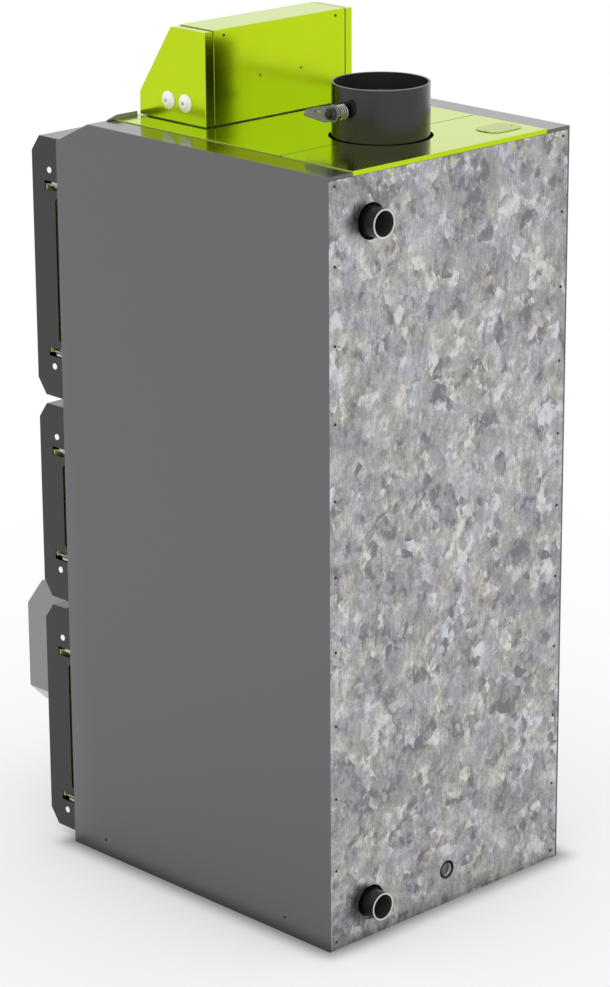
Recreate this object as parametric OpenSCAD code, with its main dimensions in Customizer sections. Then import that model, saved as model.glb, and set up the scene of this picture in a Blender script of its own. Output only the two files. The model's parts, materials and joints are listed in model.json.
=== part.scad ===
// Floor-standing pellet boiler with three front doors, a cased water body,
// a flue stub with a sprung damper and a control console on the lid.
// The front faces -Y, the galvanised back faces +Y and the origin lies on
// the floor under the middle of the casing. Sizes are in millimetres.

/* [Casing] */
// Width of the casing over the two side panels
casing_w = 560; // [540:1:620]
// Depth of the casing from its front edge to the back
casing_d = 648; // [640:1:700]
// Height of the side panels
casing_h = 1310; // [1295:1:1380]
// Thickness of the casing sheets
sheet_t = 1.5; // [1:0.1:1.8]
// Depth of the slope on the top front corner
slope_d = 82; // [76:1:88]
// Height of the slope on the top front corner
slope_h = 40; // [34:1:44]
// Width of the painted border beside the lid
border_w = 56; // [50:1:60]
// Height of the folded lips along the top of the back
lip_h = 6; // [4:0.5:8]

/* [Water body] */
// Wool-filled gap between the water body and each side panel
side_gap = 38.5; // [34:0.5:44]
// Gap between the water body and the inside of the back
rear_gap = 32.5; // [28:0.5:36]
// Gap between the water body and the top of the casing
top_gap = 48; // [44:1:54]
// Height of the rails that carry the water body
rail_h = 24; // [20:1:26]
// Thickness of the outer wall of the water body
jacket_t = 4; // [3:0.5:5]
// Thickness of the firebox walls
firebox_t = 6; // [5:0.5:8]
// Width of the water space between both walls
water_gap = 35; // [30:1:38]
// Height of the water space over the firebox
roof_water_h = 32; // [28:1:36]
// Height of the water space under the firebox
floor_water_h = 24; // [20:1:28]
// Thickness of the front plate that joins both walls
front_plate_t = 8; // [6:1:10]
// Half width of the three openings in the front plate
opening_hw = 190; // [170:1:192]
// Distance of each opening from the edges of its door
opening_inset = 50; // [50:1:56]

/* [Fire tubes] */
// Outer diameter of the fire tubes
tube_d = 70; // [60:1:76]
// Wall thickness of the fire tubes
tube_t = 3.5; // [3:0.5:5]
// Width of the bent strips in the fire tubes
strip_w = 40; // [30:1:44]

/* [Ash box and back brick] */
// Distance of the ash box from the side walls of the firebox
ash_side_gap = 25; // [15:1:40]
// Height of the ash box
ash_h = 42; // [34:1:46]
// Distance of the ash box behind the front plate
ash_front_gap = 20; // [18:1:30]
// Distance of the ash box from the rear wall of the firebox
ash_rear_gap = 60; // [54:1:80]
// Width of the pull on the ash box
pull_w = 90; // [70:2:120]
// Thickness of the back brick at its foot
brick_t = 34; // [26:1:38]

/* [Doors] */
// Distance of the side walls of the doors from the side panels
door_inset = 10; // [8:1:12]
// Depth of the doors from their front to their back edge
door_d = 70; // [66:1:76]
// Gap between the doors and the front edge of the casing
door_back_gap = 6; // [5:0.5:8]
// Height of the lower door over the floor
door_foot = 14; // [10:1:18]
// Height of the lower door
lower_door_h = 418; // [410:1:430]
// Height of the middle door
middle_door_h = 353; // [340:1:370]
// Gap between one door and the next
door_gap = 15.5; // [12:0.5:18]
// Thickness of the door sheets
door_t = 2; // [1.5:0.5:2.5]
// Depth of the slope along the top and bottom of each door
door_slope_d = 20; // [16:1:24]
// Height of the slope along the top and bottom of each door
door_slope_h = 27.5; // [22:0.5:30]
// Distance of the side plugs from the ends of a door
plug_inset = 55.5; // [52:0.5:60]
// Distance of the lowest plug from the bottom of the lower door
low_plug_inset = 35.5; // [34:0.5:42]
// Diameter of the round plugs in the door sides
plug_d = 10.5; // [9:0.5:12]
// Height of the hinge slots
slot_h = 15; // [14:0.5:18]
// Diameter of the hinge pins
hinge_pin_d = 8; // [6:0.5:9]
// Distance of the hinge pins from the outer face of the door side
hinge_pin_inset = 12; // [12:0.5:13]
// Distance of the hinge pins from the front edge of the casing
hinge_pin_reach = 25; // [24.5:0.5:26]
// Width of the hinge lugs
lug_w = 19; // [17:0.5:19.5]
// Thickness of the hinge lugs
lug_t = 4; // [3:0.5:4.5]

/* [Door handles] */
// Distance of a handle's shaft from the closing side of the door
handle_inset = 23.5; // [22:0.5:25]
// Diameter of a handle's shaft
handle_shaft_d = 12; // [10:0.5:14]
// Reach of a handle's grip from its shaft
grip_reach = 118; // [90:1:125]
// Height of the lower handle over the floor
lower_handle_z = 95; // [85:1:105]

/* [Burner] */
// Width of the burner cover
cover_w = 260; // [240:1:280]
// Height of the burner cover
cover_h = 233; // [220:1:236]
// Length of the burner cover in front of the door
cover_d = 221; // [205:1:235]
// Size of the slopes along the burner cover
cover_slope = 35.5; // [28:0.5:42]
// Height of the burner's centre line over the floor
burner_z = 257.5; // [254:0.5:262]
// Outer diameter of the burner tube
burner_tube_d = 130; // [110:1:140]
// Length of the burner tube behind the door front
burner_tube_l = 250; // [210:1:270]
// Depth of the raised front cap of the burner cover
cap_d = 9.5; // [7:0.5:12]
// Inset of the raised front cap from the cover's outline
cap_inset = 8; // [6:0.5:12]
// Outer diameter of the pellet spout
spout_d = 60; // [50:1:64]
// Diameter of the fan wheel
fan_d = 120; // [100:1:124]
// Number of blades on the fan wheel
fan_blades = 14; // [8:1:18]

/* [Flue] */
// Outer diameter of the flue stub
flue_d = 160; // [150:1:160]
// Wall thickness of the flue stub
flue_t = 3; // [2:0.5:4]
// Height of the flue rim over the side panels
flue_rise = 90; // [85:1:110]
// Distance of the flue's centre from the back of the casing
flue_back = 161; // [160:1:166]
// Gap between the flue stub and the edge of the lid's hole
flue_hole_gap = 6; // [4:0.5:8]
// Depth of the damper shaft under the flue rim
damper_drop = 38; // [36:1:40]
// Length of the flue's upper end that a pipe fits on
flue_seat_l = 21.5; // [20:0.5:21.5]
// Diameter of the damper shaft
damper_shaft_d = 15; // [12:0.5:16]
// Thickness of the damper disc
damper_disc_t = 3; // [2:0.5:4]
// Outer diameter of the damper spring
spring_d = 29; // [26:0.5:31]
// Diameter of the spring wire
spring_wire_d = 2.4; // [1.8:0.1:2.6]
// Length of the damper spring
spring_l = 24; // [22:0.5:30]
// Number of turns of the damper spring
spring_turns = 5; // [4:1:5]
// Thickness of the damper lever
lever_t = 4; // [3:0.5:5]
// Length of the damper lever from its shaft
lever_l = 66; // [55:1:72]

/* [Water pipes] */
// Outer diameter of the supply and return pipes
pipe_d = 48.3; // [42:0.1:50]
// Wall thickness of the supply and return pipes
pipe_t = 3.2; // [2.5:0.1:4]
// Distance of the pipe ends from the back
pipe_reach = 28; // [22:1:34]
// Distance of the pipes' centres from the side of the casing
pipe_inset = 97; // [90:1:104]
// Height of the return pipe over the floor
return_z = 61; // [58:1:64]
// Depth of the supply pipe under the top of the casing
supply_drop = 84; // [82:1:90]
// Diameter of the holes around the pipes
pipe_hole_d = 60; // [54:1:62]
// Outer diameter of the drain socket
drain_d = 26.5; // [24:0.5:28]
// Diameter of the hole around the drain socket
drain_hole_d = 33.4; // [30:0.1:36]

/* [Console] */
// Width of the console
console_w = 338; // [320:1:350]
// Height of the console over the lid
console_h = 158; // [150:1:165]
// Depth of the console along the lid
console_d = 161.5; // [156:0.5:166]
// Depth of the flat top of the console
console_top_d = 82; // [76:1:90]
// Height of the upright front of the console
console_front_h = 40.5; // [38:0.5:46]
// Distance of the console from the front edge of the casing
console_setback = 89.5; // [88.5:0.5:94]
// Width of the folded edges of the console ends
console_fold_w = 19; // [15:0.5:24]
// Diameter of the cable glands
gland_d = 30.5; // [26:0.5:34]
// Height of the cable glands over the console end
gland_rise = 7.5; // [5:0.1:10]
// Diameter of the control knob
knob_d = 34; // [28:1:40]

/* [Lid hatch] */
// Width of the hatch cover on the lid
hatch_w = 77; // [70:1:84]
// Depth of the hatch cover
hatch_d = 54; // [48:1:60]
// Distance of the hatch cover's middle from the side of the lid
hatch_inset = 52; // [48:1:60]
// Distance of the hatch cover's middle from the back
hatch_back = 60; // [50:1:66]

/* [Screws] */
// Diameter of the screw heads
screw_head_d = 5.2; // [4.6:0.1:6]
// Diameter of the screw shanks
screw_d = 3; // [2.6:0.1:3.2]
// Length of the screw shanks
screw_l = 3; // [2.4:0.1:3]

/* [Hidden] */
$fn = 64;

// Clearances
seat_gap = 0.3;
weld_gap = 0.1;
run_gap = 0.05;
cut = 1;

// Colours
lime = [0.75, 0.85, 0.12];
casing_grey = [0.44, 0.44, 0.45];
door_grey = [0.25, 0.25, 0.26];
steel_grey = [0.55, 0.56, 0.58];
flue_black = [0.2, 0.2, 0.2];
zinc = [0.72, 0.73, 0.75];
white = [0.95, 0.95, 0.93];
wool_yellow = [0.85, 0.78, 0.5];
brick_tan = [0.8, 0.7, 0.55];
soot = [0.15, 0.14, 0.14];

// Casing planes
hw = casing_w / 2;
front_y = -casing_d / 2;
rear_y = casing_d / 2;
slope_z = casing_h - slope_h;
slope_end_y = front_y + slope_d;
slope_rate = slope_h / slope_d;
slope_drop = sheet_t * norm([slope_d, slope_h]) / slope_d;
lid_z = casing_h + sheet_t;
lid_hw = hw - border_w;
lid_lap = 19;
lid_fold_gap = 12;
fascia_hw = lid_hw + 14.4;
upstand_y = slope_end_y + 5;
upstand_h = 8;
lid_front_y = upstand_y + seat_gap;
front_fold_w = 11;
rear_fold_w = 26;
joggle_w = 3.3;
rear_panel_hw = hw - joggle_w;
rear_panel_top = casing_h - lip_h - 2 * seat_gap;
rear_skin_y = rear_y - sheet_t;
pan_t = 2;
pan_flange_h = 40;
pan_flange_gap = 20;
pan_rear_h = 54;
pan_hole_gap = 2;
pan_hw = hw - sheet_t - seat_gap;
pan_front_y = front_y + sheet_t + seat_gap;
pan_rear_y = rear_skin_y - sheet_t - seat_gap;
rail_x = 150;
rail_w = 40;

// Water body
body_z0 = pan_t + rail_h;
body_hw = hw - sheet_t - side_gap;
body_z1 = casing_h - top_gap;
plate_front_y = front_y + door_back_gap;
body_front_y = plate_front_y + front_plate_t;
body_rear_y = rear_skin_y - rear_gap;
plate_hw = hw - 14;
plate_z0 = pan_t + seat_gap;
fire_hw = body_hw - jacket_t - water_gap;
fire_in_hw = fire_hw - firebox_t;
fire_rear_y = body_rear_y - jacket_t - water_gap;
fire_in_rear_y = fire_rear_y - firebox_t;
fire_z1 = body_z1 - jacket_t - roof_water_h;
fire_in_z1 = fire_z1 - firebox_t;
fire_z0 = body_z0 + jacket_t + floor_water_h;
fire_in_z0 = fire_z0 + firebox_t;
chamber_lap = 8;

// Ash box and back brick
ash_t = 2;
ash_flare = 12;
pull_t = 6;
pull_bar = 8;
pull_reach = 16;
brick_top_gap = 60;
brick_top_part = 0.65;
brick_side_gap = 3;

// Doors, from the lowest to the highest
door_hw = hw - door_inset;
door_back_y = front_y - door_back_gap;
door_front_y = door_back_y - door_d;
door_recess = 11;
middle_z0 = door_foot + lower_door_h + door_gap;
upper_z0 = middle_z0 + middle_door_h + door_gap;
DOOR_Z0 = [door_foot, middle_z0, upper_z0];
DOOR_Z1 = [door_foot + lower_door_h, middle_z0 + middle_door_h, slope_z];
PLUG_Z0 = [DOOR_Z0[0] + low_plug_inset, DOOR_Z0[1] + plug_inset, DOOR_Z0[2] + plug_inset];
PLUG_Z1 = [for (z = DOOR_Z1) z - plug_inset];
OPEN_Z0 = [for (z = DOOR_Z0) z + opening_inset];
OPEN_Z1 = [for (z = DOOR_Z1) z - opening_inset];
slot_below_plug = 19.5;
slot_above_plug = 17;
SLOT_TOP = [for (z = PLUG_Z1) z - slot_below_plug];
SLOT_FOOT = [for (z = PLUG_Z0) z + slot_above_plug];
slot_clear = 1.3;
slot_nose = 18;
plug_back = 4;
pin_x = door_hw - hinge_pin_inset;
pin_y = front_y - hinge_pin_reach;
tab_t = 4;
tab_back = 9.5;
tab_side = 2.2;
web_w = 28;
web_nose = 18;
pin_end = 3;
LUG_TOP_Z = [for (z = SLOT_TOP) z - slot_clear - lug_t];
LUG_FOOT_Z = [for (z = SLOT_FOOT) z + slot_clear];
lining_inset_x = 45;
lining_inset_z = 28;
seal_w = 14;
seal_gap = 6;

// Decks between the chambers, with a gas passage behind the low one and in
// front of the high one
rear_passage = 100;
front_passage = 90;
low_deck_y1 = fire_in_rear_y - rear_passage;
low_deck_z0 = OPEN_Z1[0] + chamber_lap;
low_deck_z1 = OPEN_Z0[1] - chamber_lap;
high_deck_y0 = body_front_y + front_passage;
high_deck_z0 = OPEN_Z1[1] + chamber_lap;
high_deck_z1 = OPEN_Z0[2] - chamber_lap;
window_margin = 20;

// Door handles
HANDLE_Z = [lower_handle_z, (DOOR_Z0[1] + DOOR_Z1[1]) / 2, (DOOR_Z0[2] + DOOR_Z1[2]) / 2];
handle_x = -door_hw + handle_inset;
tongue_t = 4;
tongue_w = 10;
tongue_l = handle_inset - door_t - 2;
hub_d = 18;
grip_gap = 22;
grip_w = 22;
grip_t = 14;
keeper_t = 4;
keeper_w = 8.5;
keeper_gap = 2;

// Burner
cover_hw = cover_w / 2;
cover_t = 2;
cover_end_y = door_front_y - cover_d;
burner_tube_t = 5;
flange_w = 200;
flange_t = 8;
housing_hw = 80;
housing_h = 136;
housing_d = 92;
housing_y = door_front_y - flange_t - housing_d;
motor_d = 76;
motor_l = 40;
motor_y = housing_y - motor_l;
fan_shaft_d = 8;
fan_w = 26;
fan_gap = 5;
fan_hub_d = 20;
fan_y = motor_y - fan_gap;
blade_t = 2;
spout_t = 3;
spout_y = housing_y + 34;
spout_z = burner_z + housing_h / 2;
spout_l = 130;
spout_free_l = 29;
spout_root = 40;
spout_collar_r = spout_d / 2 + 0.8;
spout_tilt = 45;

// Flue and damper
flue_y = rear_y - flue_back;
flue_r = flue_d / 2;
flue_body_r = flue_r + 0.8;
flue_in_r = flue_r - flue_t;
flue_z0 = fire_in_z1;
flue_z1 = casing_h + flue_rise;
flue_hole_r = flue_r + flue_hole_gap;
lid_seam_y = flue_y - 1;
lid_seam_w = 1.2;
damper_z = flue_z1 - damper_drop;
damper_r = flue_in_r - 0.9;
boss_r = spring_d / 2 + 1;
boss_x = flue_r + 2;
spring_x0 = boss_x + seat_gap;
lever_x = spring_x0 + spring_l + seat_gap;
shaft_end_x = lever_x + lever_t + 13;
lever_hub_r = spring_d / 2;
lever_tip_w = 12;
lever_droop = 10;

// Fire tubes, with equal gaps between themselves and to the walls around them
least_tube_gap = 20;
tube_space_w = 2 * fire_in_hw;
tube_space_h = fire_in_z1 - high_deck_z1;
tube_columns = floor((tube_space_w - least_tube_gap) / (tube_d + least_tube_gap));
tube_rows = floor((tube_space_h - least_tube_gap) / (tube_d + least_tube_gap));
tube_gap_x = (tube_space_w - tube_columns * tube_d) / (tube_columns + 1);
tube_gap_z = (tube_space_h - tube_rows * tube_d) / (tube_rows + 1);
TUBE_X = [for (i = [1:tube_columns]) -fire_in_hw + i * (tube_gap_x + tube_d) - tube_d / 2];
TUBE_Z = [for (i = [1:tube_rows]) high_deck_z1 + i * (tube_gap_z + tube_d) - tube_d / 2];
tube_sheet_t = 8;
tube_front_room = 110;
tube_front_y = body_front_y + tube_front_room;
tube_rear_y = flue_y - flue_r - 10 - tube_sheet_t;
tube_end = 3;
tube_in_r = tube_d / 2 - tube_t;
strip_t = 2;
strip_bends = 10;

// Pipes and drain
pipe_x = hw - pipe_inset;
pipe_collar_r = pipe_d / 2 + 0.5;
supply_z = casing_h - supply_drop;
pipe_end_y = rear_y + pipe_reach;
pipe_start_y = body_rear_y - jacket_t - 4;
drain_end_y = rear_y - 1;
plug_recess = 3;
drain_bore_r = drain_d / 2 - 2.25;

// Console
console_hw = console_w / 2;
console_gap = 2;
console_z0 = lid_z + console_gap;
console_z1 = lid_z + console_h;
console_y0 = front_y + console_setback;
console_y1 = console_y0 + console_d;
console_top_y = console_y1 - console_top_d;
console_knee_z = lid_z + console_front_h;
console_proud = sheet_t + weld_gap;
console_fold_lap = 30;
panel_t = 2;
panel_run = [console_top_y - console_y0, console_z1 - console_knee_z];
panel_tilt = atan2(panel_run[1], panel_run[0]);
panel_mid = [(console_top_y + console_y0) / 2, (console_z1 + console_knee_z) / 2];
display_w = 110;
display_h = 62;
knob_x = 105;
knob_h = 16;
knob_pin_d = 6;
controller_x = [-80, 60];
controller_d = 60;
controller_back = 10;
controller_slope_d = 40;
controller_h = 105;
controller_front_h = 60;
switch_x = -110;
switch_w = 20;
switch_h = 30;
switch_d = 8;
trunnion_l = 1;
trunnion_r = 1.5;
GLAND_Y = [console_y1 - 90, console_y1 - 48.6];
gland_z = lid_z + 35;
gland_hole_r = 3.3;

// Screws
screw_head_r = screw_head_d / 2;
screw_head_h = 1.2;
screw_r = screw_d / 2;
REAR_SCREW_X = [-(hw - 15.6), hw - 15.6];
screw_count = 11;
screw_foot = 14;
screw_head_room = 16;
screw_pitch = (casing_h - screw_head_room - screw_foot) / (screw_count - 1);
REAR_SCREW_Z = [for (i = [0:screw_count - 1]) screw_foot + i * screw_pitch];
lid_screw_inset = 82;
LID_SCREW_X = [-(lid_hw - lid_screw_inset), 0, lid_hw - lid_screw_inset];
lid_screw_z = casing_h - screw_head_room;
COVER_SCREW_X = [-(console_hw - 41), console_hw - 41];
cover_screw_z = console_z1 - 8.5;
RIVET_X = [-47, 47];
rivet_z = console_z1 - 85.5;
side_screw_front = 84;
side_screw_rear = 109;
SIDE_SCREW_Y = [front_y + side_screw_front, rear_y - side_screw_rear];
side_screw_z = 28.8;
hatch_r = 20;
hatch_t = 1.2;
hatch_x = -lid_hw + hatch_inset;
hatch_y = rear_y - hatch_back;
hatch_screw_gap = hatch_w / 2 - 7.5;

// Basic shapes

module box(x0, x1, y0, y1, z0, z1) {
    translate([x0, y0, z0])
        cube([x1 - x0, y1 - y0, z1 - z0]);
}

// A cylinder along X from x0 to x1
module rod_x(x0, x1, y, z, r) {
    translate([x0, y, z])
        rotate([0, 90, 0])
            cylinder(h = x1 - x0, r = r);
}

// A cylinder along Y from y0 to y1
module rod_y(y0, y1, x, z, r) {
    translate([x, y1, z])
        rotate([90, 0, 0])
            cylinder(h = y1 - y0, r = r);
}

// A cylinder along Z from z0 to z1
module rod_z(z0, z1, x, y, r) {
    translate([x, y, z0])
        cylinder(h = z1 - z0, r = r);
}

// An outline in Y and Z, drawn out along X
module slab_x(outline, x0, x1) {
    translate([x0, 0, 0])
        rotate([90, 0, 90])
            linear_extrude(height = x1 - x0)
                polygon(outline);
}

// An outline in X and Z, drawn out along Y
module slab_y(outline, y0, y1) {
    translate([0, y1, 0])
        rotate([90, 0, 0])
            linear_extrude(height = y1 - y0)
                polygon(outline);
}

// A row of screws: a low head outside and a short shank
module screw() {
    cylinder(h = screw_head_h, r1 = screw_head_r, r2 = screw_head_r * 0.7);
    translate([0, 0, -screw_l])
        cylinder(h = screw_l, r = screw_r);
}

module screw_hole() {
    translate([0, 0, -screw_l - cut])
        cylinder(h = screw_l + 2 * cut, r = screw_r + weld_gap);
}

module face_back() {
    rotate([-90, 0, 0])
        children();
}

// Base and water body

module base_pan() {
    color(zinc)
    difference() {
        union() {
            box(-pan_hw, pan_hw, pan_front_y, pan_rear_y, 0, pan_t);
            for (s = [0, 1])
                mirror([s, 0, 0]) {
                    box(pan_hw - pan_t, pan_hw, pan_front_y + pan_flange_gap, pan_rear_y, 0, pan_flange_h);
                    box(rail_x - rail_w / 2, rail_x + rail_w / 2, body_front_y, body_rear_y, 0, body_z0);
                }
            box(-pan_hw, pan_hw, pan_rear_y - pan_t, pan_rear_y, 0, pan_rear_h);
        }
        rod_y(pan_rear_y - pan_t - cut, pan_rear_y + cut, pipe_x, return_z, pipe_collar_r + pan_hole_gap);
        rod_y(pan_rear_y - pan_t - cut, pan_rear_y + cut, 0, return_z, drain_d / 2 + pan_hole_gap);
        for (s = [-1, 1], y = SIDE_SCREW_Y)
            translate([s * hw, y, side_screw_z])
                rotate([0, s * 90, 0])
                    screw_hole();
    }
}

// Floor, rear and side plates of the outer wall, welded to the front plate and
// to the roof plate
module water_jacket() {
    in_hw = body_hw - jacket_t;
    z0 = body_z0 + jacket_t + weld_gap;
    z1 = body_z1 - jacket_t - weld_gap;
    color(steel_grey)
    difference() {
        union() {
            box(-body_hw, body_hw, body_front_y, body_rear_y, body_z0, body_z0 + jacket_t);
            box(-in_hw + weld_gap, in_hw - weld_gap, body_rear_y - jacket_t, body_rear_y, z0, z1);
            box(in_hw, body_hw, body_front_y, body_rear_y, z0, z1);
            box(-body_hw, -in_hw, body_front_y, body_rear_y, z0, z1);
        }
        for (z = [supply_z, return_z])
            rod_y(body_rear_y - jacket_t - cut, body_rear_y + cut, pipe_x, z, pipe_collar_r + weld_gap);
        rod_y(body_rear_y - jacket_t - cut, body_rear_y + cut, 0, return_z, drain_d / 2 + weld_gap);
    }
}

// Floor and rear wall of the firebox and the two decks between its chambers;
// they are welded between the side plates
module firebox() {
    w = fire_in_hw - weld_gap;
    color(soot)
    union() {
        box(-w, w, body_front_y, fire_rear_y, fire_z0, fire_in_z0);
        box(-w, w, fire_in_rear_y, fire_rear_y, fire_in_z0 + weld_gap, fire_in_z1 - weld_gap);
        deck(w, body_front_y, low_deck_y1, low_deck_z0, low_deck_z1);
        deck(w, high_deck_y0, fire_in_rear_y - weld_gap, high_deck_z0, high_deck_z1);
    }
}

// Roof of the firebox and roof of the outer wall, with the flue through both
module roof_plates() {
    w = fire_in_hw - weld_gap;
    color(steel_grey)
    difference() {
        union() {
            box(-w, w, body_front_y, fire_rear_y, fire_in_z1, fire_z1);
            box(-body_hw, body_hw, body_front_y, body_rear_y, body_z1 - jacket_t, body_z1);
        }
        rod_z(fire_in_z1 - cut, body_z1 + cut, 0, flue_y, flue_body_r + weld_gap);
    }
}

// A deck full of water: two plates with a closing strip at each end
module deck(w, y0, y1, z0, z1) {
    for (z = [z0, z1 - firebox_t])
        box(-w, w, y0, y1, z, z + firebox_t);
    for (y = [y0, y1 - firebox_t])
        box(-w, w, y, y + firebox_t, z0 + firebox_t + weld_gap, z1 - firebox_t - weld_gap);
}

// Side plates of the firebox; water flows through their windows into the decks
// and around the fire tubes
module firebox_sides() {
    color(soot)
    difference() {
        for (s = [0, 1])
            mirror([s, 0, 0])
                box(fire_in_hw, fire_hw, body_front_y, fire_rear_y, fire_z0, fire_z1);
        water_window(body_front_y + firebox_t, low_deck_y1 - firebox_t,
            low_deck_z0 + firebox_t, low_deck_z1 - firebox_t);
        water_window(high_deck_y0 + firebox_t, fire_in_rear_y - weld_gap - firebox_t,
            high_deck_z0 + firebox_t, high_deck_z1 - firebox_t);
        water_window(tube_front_y + tube_sheet_t + window_margin, tube_rear_y - window_margin,
            high_deck_z1 + window_margin, fire_in_z1 - window_margin);
    }
}

module water_window(y0, y1, z0, z1) {
    box(-fire_hw - cut, fire_hw + cut, y0, y1, z0, z1);
}

module front_plate() {
    color(soot)
    difference() {
        box(-plate_hw, plate_hw, plate_front_y, body_front_y, plate_z0, body_z1);
        for (i = [0:2])
            box(-opening_hw, opening_hw, plate_front_y - cut, body_front_y + cut, OPEN_Z0[i], OPEN_Z1[i]);
    }
}

module tube_sheets() {
    color(soot)
    difference() {
        for (y = [tube_front_y, tube_rear_y])
            box(-fire_in_hw + weld_gap, fire_in_hw - weld_gap, y, y + tube_sheet_t,
                high_deck_z1 + weld_gap, fire_in_z1 - weld_gap);
        for (x = TUBE_X, z = TUBE_Z)
            rod_y(tube_front_y - cut, tube_rear_y + tube_sheet_t + cut, x, z, tube_d / 2 + weld_gap);
    }
}

module fire_tubes() {
    color(steel_grey)
    difference() {
        for (x = TUBE_X, z = TUBE_Z)
            rod_y(tube_front_y - tube_end, tube_rear_y + tube_sheet_t + tube_end, x, z, tube_d / 2);
        for (x = TUBE_X, z = TUBE_Z)
            rod_y(tube_front_y - tube_end - cut, tube_rear_y + tube_sheet_t + tube_end + cut, x, z, tube_in_r);
    }
}

// Zigzag strips that slow the flue gas and scrape the tubes when drawn out
module turbulators() {
    wave = sqrt(pow(tube_in_r - seat_gap, 2) - pow(strip_w / 2, 2)) - strip_t / 2;
    y0 = tube_front_y - 14;
    y1 = tube_rear_y;
    step = (y1 - y0) / strip_bends;
    function bend(i) = i % 2 == 0 ? -wave : wave;
    upper = [for (i = [0:strip_bends]) [y0 + i * step, bend(i) + strip_t / 2]];
    lower = [for (i = [strip_bends:-1:0]) [y0 + i * step, bend(i) - strip_t / 2]];
    color(steel_grey)
    for (x = TUBE_X, z = TUBE_Z)
        translate([x, 0, z])
            slab_x(concat(upper, lower), -strip_w / 2, strip_w / 2);
}

module wool_wrap() {
    out_hw = hw - sheet_t - 1;
    in_y0 = body_front_y + seat_gap;
    color(wool_yellow)
    difference() {
        box(-out_hw, out_hw, in_y0, pan_rear_y - pan_t - seat_gap, pan_flange_h + 20, casing_h - sheet_t - seat_gap);
        box(-body_hw - seat_gap, body_hw + seat_gap, in_y0 - cut, body_rear_y + seat_gap,
            pan_flange_h, body_z1 + seat_gap);
        rod_z(body_z1, casing_h, 0, flue_y, flue_hole_r);
        for (z = [supply_z, return_z])
            rod_y(body_rear_y - cut, rear_y, pipe_x, z, pipe_hole_d / 2);
        rod_y(body_rear_y - cut, rear_y, 0, return_z, drain_hole_d / 2);
        // The front corners are cut back under the sloped front of the casing
        slab_x([[in_y0 - cut, slope_z - 12], [slope_end_y + 30, casing_h], [in_y0 - cut, casing_h]],
            -hw, hw);
    }
}

module ash_box() {
    w = fire_in_hw - ash_side_gap;
    y0 = body_front_y + ash_front_gap;
    y1 = fire_in_rear_y - ash_rear_gap;
    z0 = fire_in_z0;
    z1 = z0 + ash_h;
    t = ash_t;
    pull_z = z0 + ash_h / 2;
    color(steel_grey)
    union() {
        difference() {
            slab_x([[y0, z0], [y1, z0], [y1 + ash_flare, z1], [y0, z1]], -w, w);
            slab_x([
                [y0 + t, z0 + t], [y1 - t, z0 + t], [y1 + ash_flare - t, z1 + cut], [y0 + t, z1 + cut]
            ], -w + t, w - t);
        }
        // Pull on the front of the box
        difference() {
            box(-pull_w / 2, pull_w / 2, y0 - pull_reach, y0 + t, pull_z - pull_t / 2, pull_z + pull_t / 2);
            box(-pull_w / 2 + pull_bar, pull_w / 2 - pull_bar, y0 - pull_reach + pull_t, y0,
                pull_z - pull_t, pull_z + pull_t);
        }
    }
}

module back_brick() {
    y1 = fire_in_rear_y;
    z1 = OPEN_Z1[0] - brick_top_gap;
    color(brick_tan)
    slab_x([
        [y1 - brick_t, fire_in_z0], [y1 - weld_gap, fire_in_z0],
        [y1 - weld_gap, z1], [y1 - brick_t * brick_top_part, z1]
    ], -fire_in_hw + brick_side_gap, fire_in_hw - brick_side_gap);
}

// Flue and damper

module flue_stub() {
    color(flue_black)
    difference() {
        union() {
            rod_z(flue_z0, flue_z1, 0, flue_y, flue_r);
            rod_z(flue_z0, flue_z1 - flue_seat_l, 0, flue_y, flue_body_r);
            rod_x(flue_in_r, boss_x, flue_y, damper_z, boss_r);
            rod_x(-boss_x, -flue_in_r, flue_y, damper_z, damper_shaft_d / 2 + 4);
        }
        rod_z(flue_z0 - cut, flue_z1 + cut, 0, flue_y, flue_in_r);
        rod_x(-boss_x - cut, boss_x + cut, flue_y, damper_z, damper_shaft_d / 2 + run_gap);
    }
}

// Shaft with the closing disc welded on top of it
module damper_disc() {
    color(flue_black)
    union() {
        rod_x(-boss_x - 3, shaft_end_x, flue_y, damper_z, damper_shaft_d / 2);
        intersection() {
            rod_z(damper_z, damper_z + damper_shaft_d / 2 + damper_disc_t, 0, flue_y, damper_r);
            union() {
                box(-damper_r, damper_r, flue_y - damper_r, flue_y + damper_r,
                    damper_z + damper_shaft_d / 2 - 0.5, damper_z + damper_shaft_d / 2 + damper_disc_t);
                box(-damper_r + 6, damper_r - 6, flue_y - 3, flue_y + 3,
                    damper_z, damper_z + damper_shaft_d / 2);
            }
        }
    }
}

// Spring: one unbroken wire swept along its coil, with a straight end on each side
spring_r = (spring_d - spring_wire_d) / 2;
spring_rings = 8;
spring_sides = 6;
spring_coil_l = spring_l - 4 * spring_wire_d;
spring_steps = spring_turns * spring_rings;
function spring_dir(a) = [0, cos(a), sin(a)];
function coil_point(i) =
    [2 * spring_wire_d + i * spring_coil_l / spring_steps, 0, 0]
    + spring_r * spring_dir(i * 360 / spring_rings);
SPRING_COIL = [for (i = [0:spring_steps]) coil_point(i)];
SPRING_PATH = concat(
    [[0, spring_r, 0], [spring_wire_d, spring_r, 0]],
    SPRING_COIL,
    [[spring_l - spring_wire_d, spring_r, 0], [spring_l, spring_r, 0]]);
SPRING_TURN = concat([0, 0], [for (i = [0:spring_steps]) i * 360 / spring_rings], [0, 0]);
spring_last = len(SPRING_PATH) - 1;
function spring_heading(i) =
    let (a = SPRING_PATH[max(i - 1, 0)], b = SPRING_PATH[min(i + 1, spring_last)])
    (b - a) / norm(b - a);
function spring_gaps() =
    [for (i = [0:spring_last - 6]) for (j = [i + 6:spring_last])
        norm(SPRING_PATH[i] - SPRING_PATH[j]) - spring_wire_d];
echo(spring_least_gap = min(spring_gaps()));

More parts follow.
